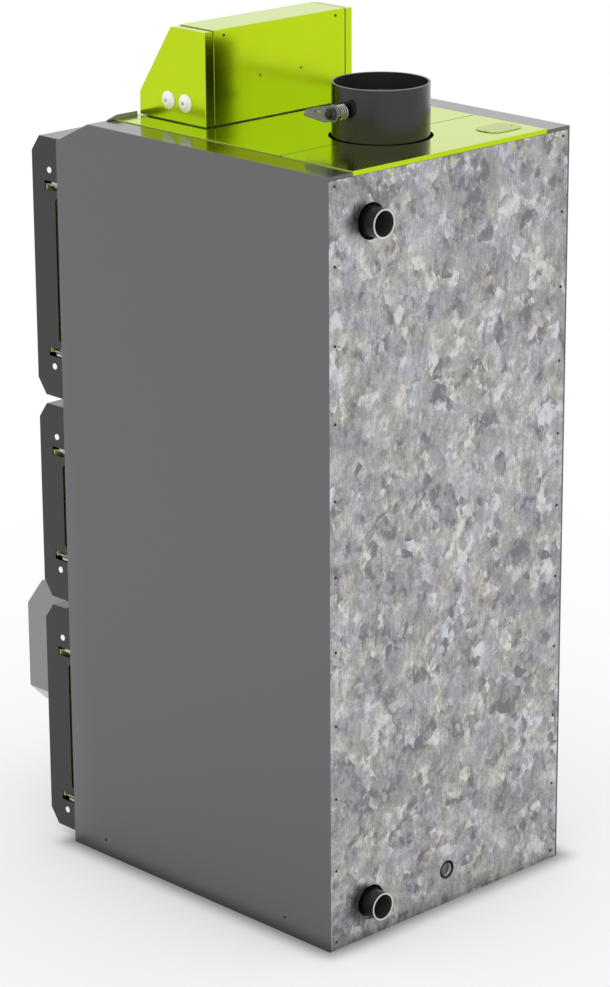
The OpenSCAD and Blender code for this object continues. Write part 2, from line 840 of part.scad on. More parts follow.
module damper_spring() {
    points = [for (i = [0:spring_last]) for (k = [0:spring_sides - 1])
        let (out = spring_dir(SPRING_TURN[i]), side = cross(spring_heading(i), out), a = k * 360 / spring_sides)
        SPRING_PATH[i] + spring_wire_d / 2 * (cos(a) * out + sin(a) * side)];
    n = spring_sides;
    walls = [for (i = [0:spring_last - 1]) for (k = [0:n - 1])
        let (a = i * n + k, b = i * n + (k + 1) % n)
        each [[a, b, b + n], [a, b + n, a + n]]];
    start = [for (k = [1:n - 2]) [0, k + 1, k]];
    end0 = spring_last * n;
    end = [for (k = [1:n - 2]) [end0, end0 + k, end0 + k + 1]];
    color(zinc)
    translate([spring_x0, flue_y, damper_z])
        polyhedron(points = points, faces = concat(walls, start, end), convexity = 10);
}

module damper_lever() {
    tip = -lever_l;
    color(zinc)
    translate([0, flue_y, damper_z])
    difference() {
        union() {
            rod_x(lever_x, lever_x + lever_t, 0, 0, lever_hub_r);
            slab_x([
                [tip, -lever_droop],
                [tip + 6, -lever_droop + lever_tip_w - 3],
                [tip + 26, 5],
                [-8, lever_hub_r - 2.5],
                [-4, -lever_hub_r + 0.6],
                [-lever_hub_r - 4, -lever_hub_r - 2.5],
                [tip + 2, -lever_droop - 3]
            ], lever_x, lever_x + lever_t);
        }
        rod_x(lever_x - cut, lever_x + lever_t + cut, 0, 0, damper_shaft_d / 2 + run_gap);
        box(lever_x - cut, lever_x + lever_t + cut, -0.6 * lever_l, -0.4 * lever_l, -3, 0);
    }
}

// Pipes

module water_pipes() {
    color(flue_black)
    for (z = [supply_z, return_z])
        difference() {
            union() {
                rod_y(pipe_start_y, pipe_end_y, pipe_x, z, pipe_d / 2);
                rod_y(pipe_start_y, rear_y, pipe_x, z, pipe_collar_r);
            }
            rod_y(pipe_start_y - cut, pipe_end_y + cut, pipe_x, z, pipe_d / 2 - pipe_t);
        }
}

module drain_socket() {
    color(zinc)
    difference() {
        rod_y(pipe_start_y, drain_end_y, 0, return_z, drain_d / 2);
        rod_y(pipe_start_y - cut, drain_end_y + cut, 0, return_z, drain_bore_r);
    }
}

module drain_plug() {
    color(flue_black)
    difference() {
        rod_y(drain_end_y - 24, drain_end_y - plug_recess, 0, return_z, drain_bore_r - run_gap);
        translate([0, drain_end_y - plug_recess + cut, return_z])
            rotate([90, 0, 0])
                cylinder(h = 8 + cut, r = 5, $fn = 6);
    }
}

// Casing

SIDE_OUTLINE = [
    [front_y, 0], [rear_y, 0], [rear_y, casing_h], [slope_end_y, casing_h], [front_y, slope_z]
];

// Right side panel with its folds; the left one is its mirror image
module side_panel() {
    in_x = hw - sheet_t;
    color(casing_grey)
    difference() {
        union() {
            slab_x(SIDE_OUTLINE, in_x, hw);
            // Top fold, which carries the lid and clears the edge of the fascia
            box(fascia_hw + seat_gap, hw, slope_end_y, rear_y, casing_h - sheet_t, casing_h);
            box(lid_hw + seat_gap, hw, slope_end_y + slope_drop / slope_rate + seat_gap, rear_y,
                casing_h - sheet_t, casing_h);
            box(lid_hw - lid_lap, hw, slope_end_y + lid_fold_gap, rear_skin_y - seat_gap,
                casing_h - sheet_t, casing_h);
            // Sloped fold at the front
            slab_x([
                [front_y, slope_z], [slope_end_y, casing_h],
                [slope_end_y, casing_h - slope_drop], [front_y, slope_z - slope_drop]
            ], fascia_hw + seat_gap, hw);
            // Front fold
            box(hw - front_fold_w, hw, front_y, front_y + sheet_t, 0, slope_z);
            // Lip along the top of the back
            box(lid_hw + seat_gap, hw, rear_skin_y, rear_y, casing_h - lip_h, casing_h);
            // Rear fold with the joggle that sinks the back panel
            box(rear_panel_hw + seat_gap, hw, rear_skin_y, rear_y, 0, casing_h);
            box(hw - rear_fold_w, hw, rear_skin_y - sheet_t, rear_skin_y, 0, casing_h - sheet_t);
        }
        for (z = REAR_SCREW_Z)
            translate([REAR_SCREW_X[1], rear_y, z])
                face_back()
                    screw_hole();
        for (y = SIDE_SCREW_Y)
            translate([hw, y, side_screw_z])
                rotate([0, 90, 0])
                    screw_hole();
    }
}

module side_panel_right() {
    side_panel();
}

module side_panel_left() {
    mirror([1, 0, 0])
        side_panel();
}

module rear_panel() {
    color(zinc)
    difference() {
        box(-rear_panel_hw, rear_panel_hw, rear_skin_y, rear_y, 0, rear_panel_top);
        for (z = [supply_z, return_z])
            rod_y(rear_skin_y - cut, rear_y + cut, pipe_x, z, pipe_hole_d / 2);
        rod_y(rear_skin_y - cut, rear_y + cut, 0, return_z, drain_hole_d / 2);
        for (x = REAR_SCREW_X, z = REAR_SCREW_Z)
            translate([x, rear_y, z])
                face_back()
                    screw_hole();
        for (x = LID_SCREW_X)
            translate([x, rear_y, lid_screw_z])
                face_back()
                    screw_hole();
    }
}

module lid_front() {
    color(lime)
    difference() {
        box(-lid_hw, lid_hw, lid_front_y, lid_seam_y - lid_seam_w, casing_h, lid_z);
        rod_z(casing_h - cut, lid_z + cut, 0, flue_y, flue_hole_r);
    }
}

module lid_rear() {
    color(lime)
    difference() {
        union() {
            box(-lid_hw, lid_hw, lid_seam_y, rear_y, casing_h, lid_z);
            box(-lid_hw, lid_hw, rear_skin_y, rear_y, casing_h - lip_h, lid_z);
        }
        rod_z(casing_h - cut, lid_z + cut, 0, flue_y, flue_hole_r);
        for (s = [-1, 1])
            translate([hatch_x + s * hatch_screw_gap, hatch_y, lid_z])
                screw_hole();
    }
}

module hatch_cover() {
    dx = hatch_w / 2 - hatch_r;
    dy = hatch_d / 2 - hatch_r;
    color(lime)
    difference() {
        hull()
            for (x = [-dx, dx], y = [-dy, dy])
                rod_z(lid_z, lid_z + hatch_t, hatch_x + x, hatch_y + y, hatch_r, $fn = 32);
        for (s = [-1, 1])
            translate([hatch_x + s * hatch_screw_gap, hatch_y, lid_z + hatch_t])
                screw_hole();
    }
}

// Sloped front of the casing, with a low upstand beside each console end
module fascia() {
    notch_y = slope_end_y + 2;
    foot_z = body_z1 - 22;
    end_z = casing_h + (upstand_y - slope_end_y) * slope_rate;
    color(casing_grey)
    union() {
        intersection() {
            slab_x([
                [front_y, slope_z], [upstand_y, end_z],
                [upstand_y, end_z - slope_drop], [front_y, slope_z - slope_drop]
            ], -fascia_hw, fascia_hw);
            linear_extrude(height = end_z + cut)
                polygon([
                    [-fascia_hw, front_y - cut], [fascia_hw, front_y - cut], [fascia_hw, upstand_y],
                    [console_hw + 4, upstand_y], [console_hw - 1, notch_y],
                    [-console_hw + 1, notch_y], [-console_hw - 4, upstand_y], [-fascia_hw, upstand_y]
                ]);
        }
        for (s = [0, 1])
            mirror([s, 0, 0])
                slab_y([
                    [console_hw + 4, end_z - slope_drop], [fascia_hw, end_z - slope_drop],
                    [fascia_hw, end_z], [lid_hw - 6, casing_h + upstand_h],
                    [console_hw + 4, casing_h + upstand_h]
                ], upstand_y - sheet_t, upstand_y);
        box(-fascia_hw, fascia_hw, front_y, front_y + sheet_t, foot_z, slope_z - slope_drop);
        box(-fascia_hw, fascia_hw, front_y, plate_front_y - seat_gap, foot_z, foot_z + sheet_t);
    }
}

// Console

CONSOLE_OUTLINE = [
    [console_y0, console_z0], [console_y0 + 0.5, console_knee_z], [console_top_y, console_z1],
    [console_y1, console_z1], [console_y1, console_z0]
];

module console_ends() {
    fold_x = console_hw - console_fold_w - console_fold_lap;
    color(lime)
    difference() {
        for (s = [0, 1])
            mirror([s, 0, 0]) {
                slab_x(CONSOLE_OUTLINE, console_hw - sheet_t, console_hw);
                // Folds that carry the cover
                box(fold_x, console_hw, console_top_y + 2, console_y1, console_z1 - sheet_t, console_z1);
                box(fold_x, console_hw, console_y1 - sheet_t, console_y1, console_z0, console_z1);
            }
        for (x = COVER_SCREW_X)
            translate([x, console_y1 + console_proud, cover_screw_z])
                face_back()
                    screw_hole();
        for (y = GLAND_Y)
            rod_x(console_hw - sheet_t - cut, console_hw + cut, y, gland_z, gland_d / 4 + weld_gap);
    }
}

module console_cover() {
    w = console_hw - console_fold_w - seat_gap;
    y1 = console_y1 + console_proud;
    z1 = console_z1 + console_proud;
    color(lime)
    difference() {
        union() {
            box(-w, w, console_top_y + 2, y1, z1 - sheet_t, z1);
            box(-w, w, y1 - sheet_t, y1, console_z0, z1);
        }
        for (x = COVER_SCREW_X)
            translate([x, y1, cover_screw_z])
                face_back()
                    screw_hole();
        for (x = RIVET_X)
            translate([x, y1, rivet_z])
                face_back()
                    screw_hole();
    }
}

// Sloped operating panel with its upright lower edge
module console_front() {
    w = console_hw - sheet_t - seat_gap;
    n = [-sin(panel_tilt), cos(panel_tilt)];
    color(door_grey)
    difference() {
        slab_x([
            [console_y0 + seat_gap, console_z0], [console_y0 + seat_gap, console_knee_z - 1],
            [console_top_y - seat_gap, console_z1 - 1],
            [console_top_y - seat_gap, console_z1 - 1] - panel_t * n,
            [console_y0 + seat_gap + panel_t, console_knee_z - 1.5], [console_y0 + seat_gap + panel_t, console_z0]
        ], -w, w);
        on_panel(0)
            box(-display_w / 2, display_w / 2, -display_h / 2, display_h / 2, -8, 8);
        on_panel(knob_x)
            translate([0, 0, -8])
                cylinder(h = 16, r = knob_pin_d / 2 + run_gap);
        on_panel(switch_x)
            box(-switch_w / 2 - trunnion_l - weld_gap, switch_w / 2 + trunnion_l + weld_gap,
                -switch_h / 2 - 1, switch_h / 2 + 1, -8, 8);
    }
}

// Places its children on the sloped panel, X across and Z out of it
module on_panel(x) {
    translate([x, panel_mid[0], panel_mid[1]])
        rotate([panel_tilt, 0, 0])
            children();
}

module console_tray() {
    w = console_hw - 10;
    floor_w = console_hw - sheet_t - seat_gap;
    y0 = console_y0 + 8;
    y1 = console_y1 - 8;
    box_y1 = y1 - controller_back;
    box_y0 = box_y1 - controller_d;
    color(zinc)
    difference() {
        union() {
            box(-w, w, y0, y1, lid_z, console_z0);
            box(-floor_w, floor_w, console_y0 + panel_t + 2 * seat_gap, console_y1 - sheet_t - seat_gap,
                console_z0, console_z0 + console_gap);
            // Closed housing of the controller
            slab_x([
                [box_y0, console_z0], [box_y0, console_z0 + controller_front_h],
                [box_y0 + controller_slope_d, console_z0 + controller_h],
                [box_y1, console_z0 + controller_h], [box_y1, console_z0]
            ], controller_x[0], controller_x[1]);
        }
        rod_z(lid_z - cut, console_z0 + console_gap + cut, w - 30, y1 - 30, 12);
    }
}

module display() {
    color(flue_black)
    on_panel(0)
        box(-display_w / 2 + seat_gap, display_w / 2 - seat_gap,
            -display_h / 2 + seat_gap, display_h / 2 - seat_gap, -4, 0.5);
}

module control_knob() {
    color(flue_black)
    on_panel(knob_x)
        union() {
            difference() {
                translate([0, 0, seat_gap])
                    cylinder(h = knob_h, r1 = knob_d / 2, r2 = knob_d / 2 - 2);
                for (a = [0:30:330])
                    rotate([0, 0, a])
                        translate([knob_d / 2 + 0.6, 0, seat_gap - cut])
                            cylinder(h = knob_h + 2 * cut, r = 1.8, $fn = 16);
            }
            translate([0, 0, -7])
                cylinder(h = 8, r = knob_pin_d / 2);
        }
}

module main_switch() {
    color(flue_black)
    on_panel(switch_x)
        union() {
            slab_x([
                [-switch_h / 2, -3], [0, -switch_d], [switch_h / 2, -3],
                [switch_h / 2, 1], [0, 2], [-switch_h / 2, 5]
            ], -switch_w / 2, switch_w / 2);
            // Trunnions that it tips on
            rod_x(-switch_w / 2 - trunnion_l, switch_w / 2 + trunnion_l, 0, 0, trunnion_r);
        }
}

module cable_glands() {
    color(white)
    for (y = GLAND_Y)
        translate([console_hw, y, gland_z])
            rotate([0, 90, 0])
                rotate_extrude()
                    polygon([
                        [gland_hole_r, gland_rise], [gland_hole_r, -12], [gland_d / 4, -12],
                        [gland_d / 4, 0], [gland_d / 2, 0], [gland_d / 2, gland_rise * 0.2],
                        [gland_d / 2 - 4, gland_rise * 0.62], [gland_hole_r + 3.7, gland_rise]
                    ]);
}

// Fasteners

module black_screws() {
    color(flue_black)
    union() {
        for (x = REAR_SCREW_X, z = REAR_SCREW_Z)
            translate([x, rear_y, z])
                face_back()
                    screw();
        for (x = COVER_SCREW_X)
            translate([x, console_y1 + console_proud, cover_screw_z])
                face_back()
                    screw();
        for (s = [-1, 1], y = SIDE_SCREW_Y)
            translate([s * hw, y, side_screw_z])
                rotate([0, s * 90, 0])
                    screw();
    }
}

module lime_screws() {
    color(lime)
    union() {
        for (x = LID_SCREW_X)
            translate([x, rear_y, lid_screw_z])
                face_back()
                    screw();
        for (s = [-1, 1])
            translate([hatch_x + s * hatch_screw_gap, hatch_y, lid_z + hatch_t])
                screw();
    }
}

module rivets() {
    color(zinc)
    for (x = RIVET_X)
        translate([x, console_y1 + console_proud, rivet_z])
            face_back()
                screw();
}

// Door parts

// Outline of a door's side between z0 and z1, with its sloped ends
function door_outline(z0, z1, back) = [
    [back, z0], [door_front_y + door_slope_d, z0], [door_front_y, z0 + door_slope_h],
    [door_front_y, z1 - door_slope_h], [door_front_y + door_slope_d, z1], [back, z1]
];

// The same outline moved in by the thickness of the sheet
slope_len = norm([door_slope_d, door_slope_h]);
in_y = door_t * (slope_len - door_slope_d) / door_slope_h;
in_z = door_t * (slope_len - door_slope_h) / door_slope_d;
function door_hollow(z0, z1, back) = [
    [back, z0 + door_t],
    [door_front_y + door_slope_d + in_y, z0 + door_t],
    [door_front_y + door_t, z0 + door_slope_h + in_z],
    [door_front_y + door_t, z1 - door_slope_h - in_z],
    [door_front_y + door_slope_d + in_y, z1 - door_t],
    [back, z1 - door_t]
];

module door_shell(i) {
    z0 = DOOR_Z0[i];
    z1 = DOOR_Z1[i];
    wall_x = door_hw - door_t - cut;
    foot_slot = SLOT_FOOT[i];
    top_slot = SLOT_TOP[i] - slot_h;
    color(door_grey)
    difference() {
        slab_x(door_outline(z0, z1, door_back_y), -door_hw, door_hw);
        slab_x(door_hollow(z0, z1, door_back_y + cut), -door_hw + door_t, door_hw - door_t);
        // Recessed back edge between the hinges, with small slopes at its ends
        slab_x([
            [door_back_y + cut, foot_slot + slot_h + 6], [door_back_y - door_recess, foot_slot + slot_h + 17],
            [door_back_y - door_recess, top_slot - 17], [door_back_y + cut, top_slot - 6]
        ], wall_x, door_hw + cut);
        // Slots for the hinge lugs
        for (z = [foot_slot, top_slot])
            box(wall_x, door_hw + cut, pin_y - slot_nose, door_back_y + cut, z, z + slot_h);
        for (z = [PLUG_Z0[i], PLUG_Z1[i]])
            rod_x(wall_x, door_hw + cut, pin_y - plug_back, z, plug_d / 2 - 1);
        rod_y(door_front_y - cut, door_front_y + door_t + cut, handle_x, HANDLE_Z[i],
            handle_shaft_d / 2 + run_gap);
        if (i == 0)
            rod_y(door_front_y - cut, door_front_y + door_t + cut, 0, burner_z,
                burner_tube_d / 2 + seat_gap);
    }
}

module door_lining(i) {
    w = door_hw - lining_inset_x;
    z0 = DOOR_Z0[i] + lining_inset_z;
    z1 = DOOR_Z1[i] - lining_inset_z;
    y0 = door_front_y + door_t;
    y1 = door_back_y - seat_gap;
    color(brick_tan)
    difference() {
        slab_x([[y0, z0 + 8], [y1, z0], [y1, z1], [y0, z1 - 8]], -w, w);
        if (i == 0)
            rod_y(y0 - cut, y1 + cut, 0, burner_z, burner_tube_d / 2 + seat_gap);
    }
}

// Hinge bracket: an upright web with a bored tab at each lug
module door_hinge(i) {
    foot_z = LUG_FOOT_Z[i] + lug_t + seat_gap;
    top_z = LUG_TOP_Z[i] - seat_gap - tab_t;
    x1 = door_hw - door_t - seat_gap;
    color(lime)
    difference() {
        union() {
            box(x1 - web_w, x1, pin_y - web_nose, pin_y - web_nose + tab_t, foot_z, top_z + tab_t);
            for (z = [foot_z, top_z])
                box(x1 - web_w + 8, pin_x + hinge_pin_d / 2 + tab_side, pin_y - web_nose,
                    pin_y + tab_back, z, z + tab_t);
        }
        rod_z(foot_z - cut, top_z + tab_t + cut, pin_x, pin_y, hinge_pin_d / 2 + run_gap);
    }
}

module door_plugs(i) {
    color(white)
    for (z = [PLUG_Z0[i], PLUG_Z1[i]])
        union() {
            rod_x(door_hw, door_hw + 1.2, pin_y - plug_back, z, plug_d / 2);
            rod_x(door_hw - 5, door_hw, pin_y - plug_back, z, plug_d / 2 - 1 - weld_gap);
        }
}

// Handle at rest: the tongue points up and the grip lies across the door
module door_handle(i) {
    grip_y = door_front_y - grip_gap;
    tongue_y = door_back_y - tongue_t;
    color(flue_black)
    translate([handle_x, 0, HANDLE_Z[i]])
    union() {
        rod_y(grip_y, door_back_y, 0, 0, handle_shaft_d / 2);
        rod_y(grip_y, door_front_y - seat_gap, 0, 0, handle_shaft_d / 2 + 5);
        rod_y(tongue_y, door_back_y, 0, 0, hub_d / 2);
        box(-tongue_w / 2, tongue_w / 2, tongue_y, door_back_y, 0, tongue_l);
        rod_y(grip_y - grip_t, grip_y, 0, 0, grip_w / 2);
        rod_y(grip_y - grip_t, grip_y, grip_reach, 0, grip_w / 2);
        slab_y([
            [0, -grip_w / 2], [grip_reach / 2, -grip_w / 2 + 3], [grip_reach, -grip_w / 2],
            [grip_reach, grip_w / 2], [grip_reach / 2, grip_w / 2 - 3], [0, grip_w / 2]
        ], grip_y - grip_t, grip_y);
    }
}

module hinge_lugs() {
    color(zinc)
    for (i = [0:2]) {
        hinge_lug(LUG_TOP_Z[i], LUG_TOP_Z[i] - tab_t - pin_end, LUG_TOP_Z[i] + lug_t + pin_end);
        hinge_lug(LUG_FOOT_Z[i], LUG_FOOT_Z[i] - pin_end, LUG_FOOT_Z[i] + lug_t + tab_t + pin_end);
    }
}

// One lug on the front plate with its pin from pin_z0 to pin_z1
module hinge_lug(z, pin_z0, pin_z1) {
    union() {
        box(pin_x - lug_w / 2, pin_x + lug_w / 2, pin_y, plate_front_y, z, z + lug_t);
        rod_z(z, z + lug_t, pin_x, pin_y, lug_w / 2);
        rod_z(pin_z0, pin_z1, pin_x, pin_y, hinge_pin_d / 2);
    }
}

// Keepers: a post under the tongue's arc and a claw that its end turns behind
module latch_keepers() {
    x0 = -door_hw + door_t + 1.5;
    claw_y = door_back_y - tongue_t - keeper_gap;
    color(zinc)
    for (z = HANDLE_Z)
        union() {
            box(x0, x0 + keeper_w, claw_y - keeper_t, plate_front_y, z - hub_d / 2 - 8, z - hub_d / 2 - 1);
            box(x0, x0 + keeper_w, claw_y - keeper_t, claw_y, z - hub_d / 2 - 8, z + 5);
        }
}

module door_seals() {
    color(white)
    for (i = [0:2])
        difference() {
            seal_block(i, seal_gap + seal_w, 0);
            seal_block(i, seal_gap, cut);
        }
}

module seal_block(i, grow, extra) {
    box(-opening_hw - grow, opening_hw + grow, door_back_y - extra, plate_front_y + extra,
        OPEN_Z0[i] - grow, OPEN_Z1[i] + grow);
}

// Burner

// Eight-sided outline of the burner cover, moved in by d
function cover_outline(d) =
    let (w = cover_hw - d, h = cover_h / 2 - d, s = cover_slope - d * (2 - sqrt(2)))
    [
        [-w, -h + s], [-w + s, -h], [w - s, -h], [w, -h + s],
        [w, h - s], [w - s, h], [-w + s, h], [-w, h - s]
    ];

module cover_block(d, y0, y1) {
    translate([0, 0, burner_z])
        slab_y(cover_outline(d), y0, y1);
}

module burner_cover() {
    color(door_grey)
    difference() {
        cover_block(0, cover_end_y, door_front_y - seat_gap);
        cover_block(cover_t, cover_end_y + cover_t, door_front_y + cut);
        cover_block(cap_inset + 12, cover_end_y - cut, cover_end_y + cover_t + cut);
        translate([0, spout_y, spout_z])
            rotate([spout_tilt, 0, 0])
                translate([0, 0, 20])
                    cylinder(h = spout_l, r = spout_collar_r + seat_gap);
        // Air slots in the side away from the hinges
        for (k = [0:4])
            box(-cover_hw - cut, -cover_hw + cover_t + cut,
                cover_end_y + 30 + k * 14, cover_end_y + 36 + k * 14, burner_z - 50, burner_z + 50);
    }
}

module burner_cap() {
    color(casing_grey)
    difference() {
        cover_block(cap_inset, cover_end_y - cap_d, cover_end_y);
        cover_block(cap_inset + cover_t, cover_end_y - cap_d + cover_t, cover_end_y + cut);
    }
}

module burner_body() {
    color(steel_grey)
    difference() {
        union() {
            box(-flange_w / 2, flange_w / 2, door_front_y - flange_t, door_front_y,
                burner_z - flange_w / 2, burner_z + flange_w / 2);
            rod_y(door_front_y - flange_t, door_front_y + burner_tube_l, 0, burner_z, burner_tube_d / 2);
            box(-housing_hw, housing_hw, housing_y, door_front_y - flange_t,
                burner_z - housing_h / 2, burner_z + housing_h / 2);
            rod_y(motor_y, housing_y, 0, burner_z, motor_d / 2);
            rod_y(fan_y - fan_w, motor_y, 0, burner_z, fan_shaft_d / 2);
        }
        rod_y(door_front_y - flange_t, door_front_y + burner_tube_l + cut, 0, burner_z,
            burner_tube_d / 2 - burner_tube_t);
        // Air slots through the crown of the tube
        for (a = [0:30:330])
            translate([0, 0, burner_z])
                rotate([0, a, 0])
                    box(-2.5, 2.5, door_front_y + burner_tube_l - 60, door_front_y + burner_tube_l - 20,
                        burner_tube_d / 2 - 12, burner_tube_d / 2 + 5);
    }
}

// Slanted spout that the pellet hose is clamped on
module pellet_spout() {
    color(steel_grey)
    difference() {
        translate([0, spout_y, spout_z])
            rotate([spout_tilt, 0, 0])
                difference() {
                    union() {
                        rod_z(-spout_root, spout_l, 0, 0, spout_d / 2);
                        rod_z(-spout_root, spout_l - spout_free_l, 0, 0, spout_collar_r);
                    }
                    rod_z(-spout_root - cut, spout_l + cut, 0, 0, spout_d / 2 - spout_t);
                }
        box(-housing_hw, housing_hw, housing_y - 40, door_front_y, 0, spout_z + weld_gap);
    }
}

module fan_wheel() {
    hub_r = fan_hub_d / 2;
    color(steel_grey)
    difference() {
        union() {
            rod_y(fan_y - fan_w + 2, fan_y, 0, burner_z, hub_r);
            rod_y(fan_y - blade_t, fan_y, 0, burner_z, fan_d / 2);
            for (k = [0:fan_blades - 1])
                translate([0, 0, burner_z])
                    rotate([0, k * 360 / fan_blades, 0])
                        translate([fan_d / 2 - 22, 0, 0])
                            rotate([0, 30, 0])
                                box(0, 19, fan_y - fan_w, fan_y - blade_t, -blade_t / 2, blade_t / 2);
        }
        rod_y(fan_y - fan_w - cut, fan_y + cut, 0, burner_z, fan_shaft_d / 2 + run_gap);
    }
}

module lower_door() {
    door_shell(0);
}

module middle_door() {
    door_shell(1);
}

module upper_door() {
    door_shell(2);
}

module lower_lining() {
    door_lining(0);
}

module middle_lining() {
    door_lining(1);
}

module upper_lining() {
    door_lining(2);
}

module lower_hinge() {
    door_hinge(0);
}

module middle_hinge() {
    door_hinge(1);
}

module upper_hinge() {
    door_hinge(2);
}

module lower_plugs() {
    door_plugs(0);
}

module middle_plugs() {
    door_plugs(1);
}

module upper_plugs() {
    door_plugs(2);
}

module lower_handle() {
    door_handle(0);
}

module middle_handle() {
    door_handle(1);
}

module upper_handle() {
    door_handle(2);
}

base_pan();
water_jacket();
firebox();
firebox_sides();
roof_plates();
front_plate();
tube_sheets();
fire_tubes();
turbulators();
flue_stub();
water_pipes();
drain_socket();
drain_plug();
wool_wrap();
side_panel_right();
side_panel_left();
rear_panel();
lid_front();
lid_rear();
hatch_cover();
fascia();
console_ends();
console_cover();
console_front();
console_tray();
display();
cable_glands();
black_screws();
lime_screws();
rivets();
hinge_lugs();
latch_keepers();
door_seals();
ash_box();
back_brick();
lower_door();
lower_lining();
lower_hinge();
lower_plugs();
middle_door();
middle_lining();
middle_hinge();
middle_plugs();
upper_door();
upper_lining();
upper_hinge();
upper_plugs();
lower_handle();
middle_handle();
upper_handle();
burner_body();
burner_cover();
burner_cap();
pellet_spout();
fan_wheel();
damper_disc();
damper_spring();
damper_lever();
control_knob();
main_switch();
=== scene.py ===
import json
import math
import bmesh
import bpy
from mathutils import Matrix, Vector, noise


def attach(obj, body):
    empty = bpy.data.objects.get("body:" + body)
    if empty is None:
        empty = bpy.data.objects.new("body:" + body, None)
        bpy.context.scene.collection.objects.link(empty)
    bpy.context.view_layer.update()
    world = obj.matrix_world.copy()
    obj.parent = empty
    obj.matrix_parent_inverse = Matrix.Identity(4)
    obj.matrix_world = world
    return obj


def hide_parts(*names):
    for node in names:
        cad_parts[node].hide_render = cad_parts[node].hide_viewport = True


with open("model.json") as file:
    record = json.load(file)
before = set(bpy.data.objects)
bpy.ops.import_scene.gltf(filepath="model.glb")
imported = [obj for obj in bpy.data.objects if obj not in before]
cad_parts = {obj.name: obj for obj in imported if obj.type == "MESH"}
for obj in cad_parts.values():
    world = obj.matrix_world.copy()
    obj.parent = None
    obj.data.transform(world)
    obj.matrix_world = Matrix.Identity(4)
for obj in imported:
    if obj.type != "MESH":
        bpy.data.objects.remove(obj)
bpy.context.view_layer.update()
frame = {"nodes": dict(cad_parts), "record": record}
nodes = frame["nodes"]
scene = bpy.context.scene


# Camera: the photograph's own view, from behind and above the right rear corner

IMAGE_W, IMAGE_H = 610, 987
FOCAL_PX = 3434.3
CENTRE_PX = (370.8, 496.5)
CAMERA_PLACE = (3.90289, 4.02225, 2.47707)
CAMERA_RIGHT = (-0.705311, 0.708898, 0.000512)
CAMERA_BACK = (0.674304, 0.670669, 0.309059)


def place_camera():
    """The camera recovered from the photograph's straight edges and its ellipses."""
    data = bpy.data.cameras.new("photo_camera")
    data.sensor_width = 36.0
    data.lens = FOCAL_PX / IMAGE_H * data.sensor_width
    data.shift_x = (IMAGE_W / 2 - CENTRE_PX[0]) / IMAGE_H
    data.shift_y = (CENTRE_PX[1] - IMAGE_H / 2) / IMAGE_H
    data.clip_end = 200.0
    camera = bpy.data.objects.new("photo_camera", data)
    right, back = Vector(CAMERA_RIGHT), Vector(CAMERA_BACK)
    turn = Matrix((right, back.cross(right), back)).transposed().to_4x4()
    camera.matrix_world = Matrix.Translation(CAMERA_PLACE) @ turn
    scene.collection.objects.link(camera)
    scene.camera = camera


place_camera()


# Places that finishes and pieces share, in metres, read from the CAD nodes where they have them

MM = 0.001
# a vertex this near to a wall lies on it
CLOSE = 0.1 * MM


def low(name, axis):
    """Least place of a CAD node along x, y or z, to the micrometre."""
    return round(min(getattr(vert.co, axis) for vert in nodes[name].data.vertices), 6)


def high(name, axis):
    """Greatest place of a CAD node along x, y or z, to the micrometre."""
    return round(max(getattr(vert.co, axis) for vert in nodes[name].data.vertices), 6)


def midway(a, b):
    """The place between two others, to the micrometre."""
    return round((a + b) / 2, 6)


def middle(name, axis):
    """Middle of a CAD node along x, y or z."""
    return midway(low(name, axis), high(name, axis))


CASING_HALF = {"X": high("side_panel_right", "x"), "Y": high("side_panel_right", "y")}
LID_HALF_W, LID_Z = high("lid_front", "x"), high("lid_front", "z")
LID_SEAM_Y = midway(high("lid_front", "y"), low("lid_rear", "y"))
FLUE_Y, FLUE_TOP = middle("flue_stub", "y"), high("flue_stub", "z")
FLUE_R, FLUE_BODY_R, FLUE_BORE_R, FLUE_HOLE_R = 80 * MM, 80.8 * MM, 77 * MM, 86 * MM
DAMPER_Z = middle("damper_spring", "z")
SPRING_X = (low("damper_spring", "x"), high("damper_spring", "x"))
LEVER_X = high("damper_lever", "x")
NUT_X = (LEVER_X + 0.2 * MM, LEVER_X + 7.2 * MM)
SHAFT_CONE_X = LEVER_X + 7.9 * MM
DRAIN_Z, DRAIN_END_Y, DRAIN_BORE_R = middle("drain_socket", "z"), high("drain_socket", "y"), 11 * MM
PIPE_X, PIPE_END_Y, PIPE_BORE_R = middle("water_pipes", "x"), high("water_pipes", "y"), 20.95 * MM
# the return pipe is level with the drain, and the supply pipe is its twin at the top
PIPE_HEIGHTS = (round(2 * middle("water_pipes", "z") - DRAIN_Z, 6), DRAIN_Z)


# Colours and nodes

def rgb(code):
    """An sRGB hex colour as the linear colour that a shader socket takes."""
    parts = [int(code[i:i + 2], 16) / 255 for i in (0, 2, 4)]
    linear = [p / 12.92 if p <= 0.04045 else ((p + 0.055) / 1.055) ** 2.4 for p in parts]
    return (*linear, 1.0)


def add(tree, kind, sockets=None, **settings):
    """Adds one shader node, with its settings, and fills or links its sockets."""
    node = tree.nodes.new("ShaderNode" + kind)
    for key, value in settings.items():
        setattr(node, key, value)
    for key, value in (sockets or {}).items():
        if isinstance(value, bpy.types.NodeSocket):
            tree.links.new(value, node.inputs[key])
        else:
            node.inputs[key].default_value = value
    return node


def start_finish(name, colour, metallic, roughness, **sockets):
    """A new material, its node tree and its shader, with plain values on the shader's own sockets."""
    material = bpy.data.materials.new(name)
    material.use_nodes = True
    tree = material.node_tree
    shader = tree.nodes["Principled BSDF"]
    shader.inputs["Base Color"].default_value = rgb(colour)
    shader.inputs["Metallic"].default_value = metallic
    shader.inputs["Roughness"].default_value = roughness
    for key, value in sockets.items():
        shader.inputs[key.replace("_", " ")].default_value = value
    return material, tree, shader


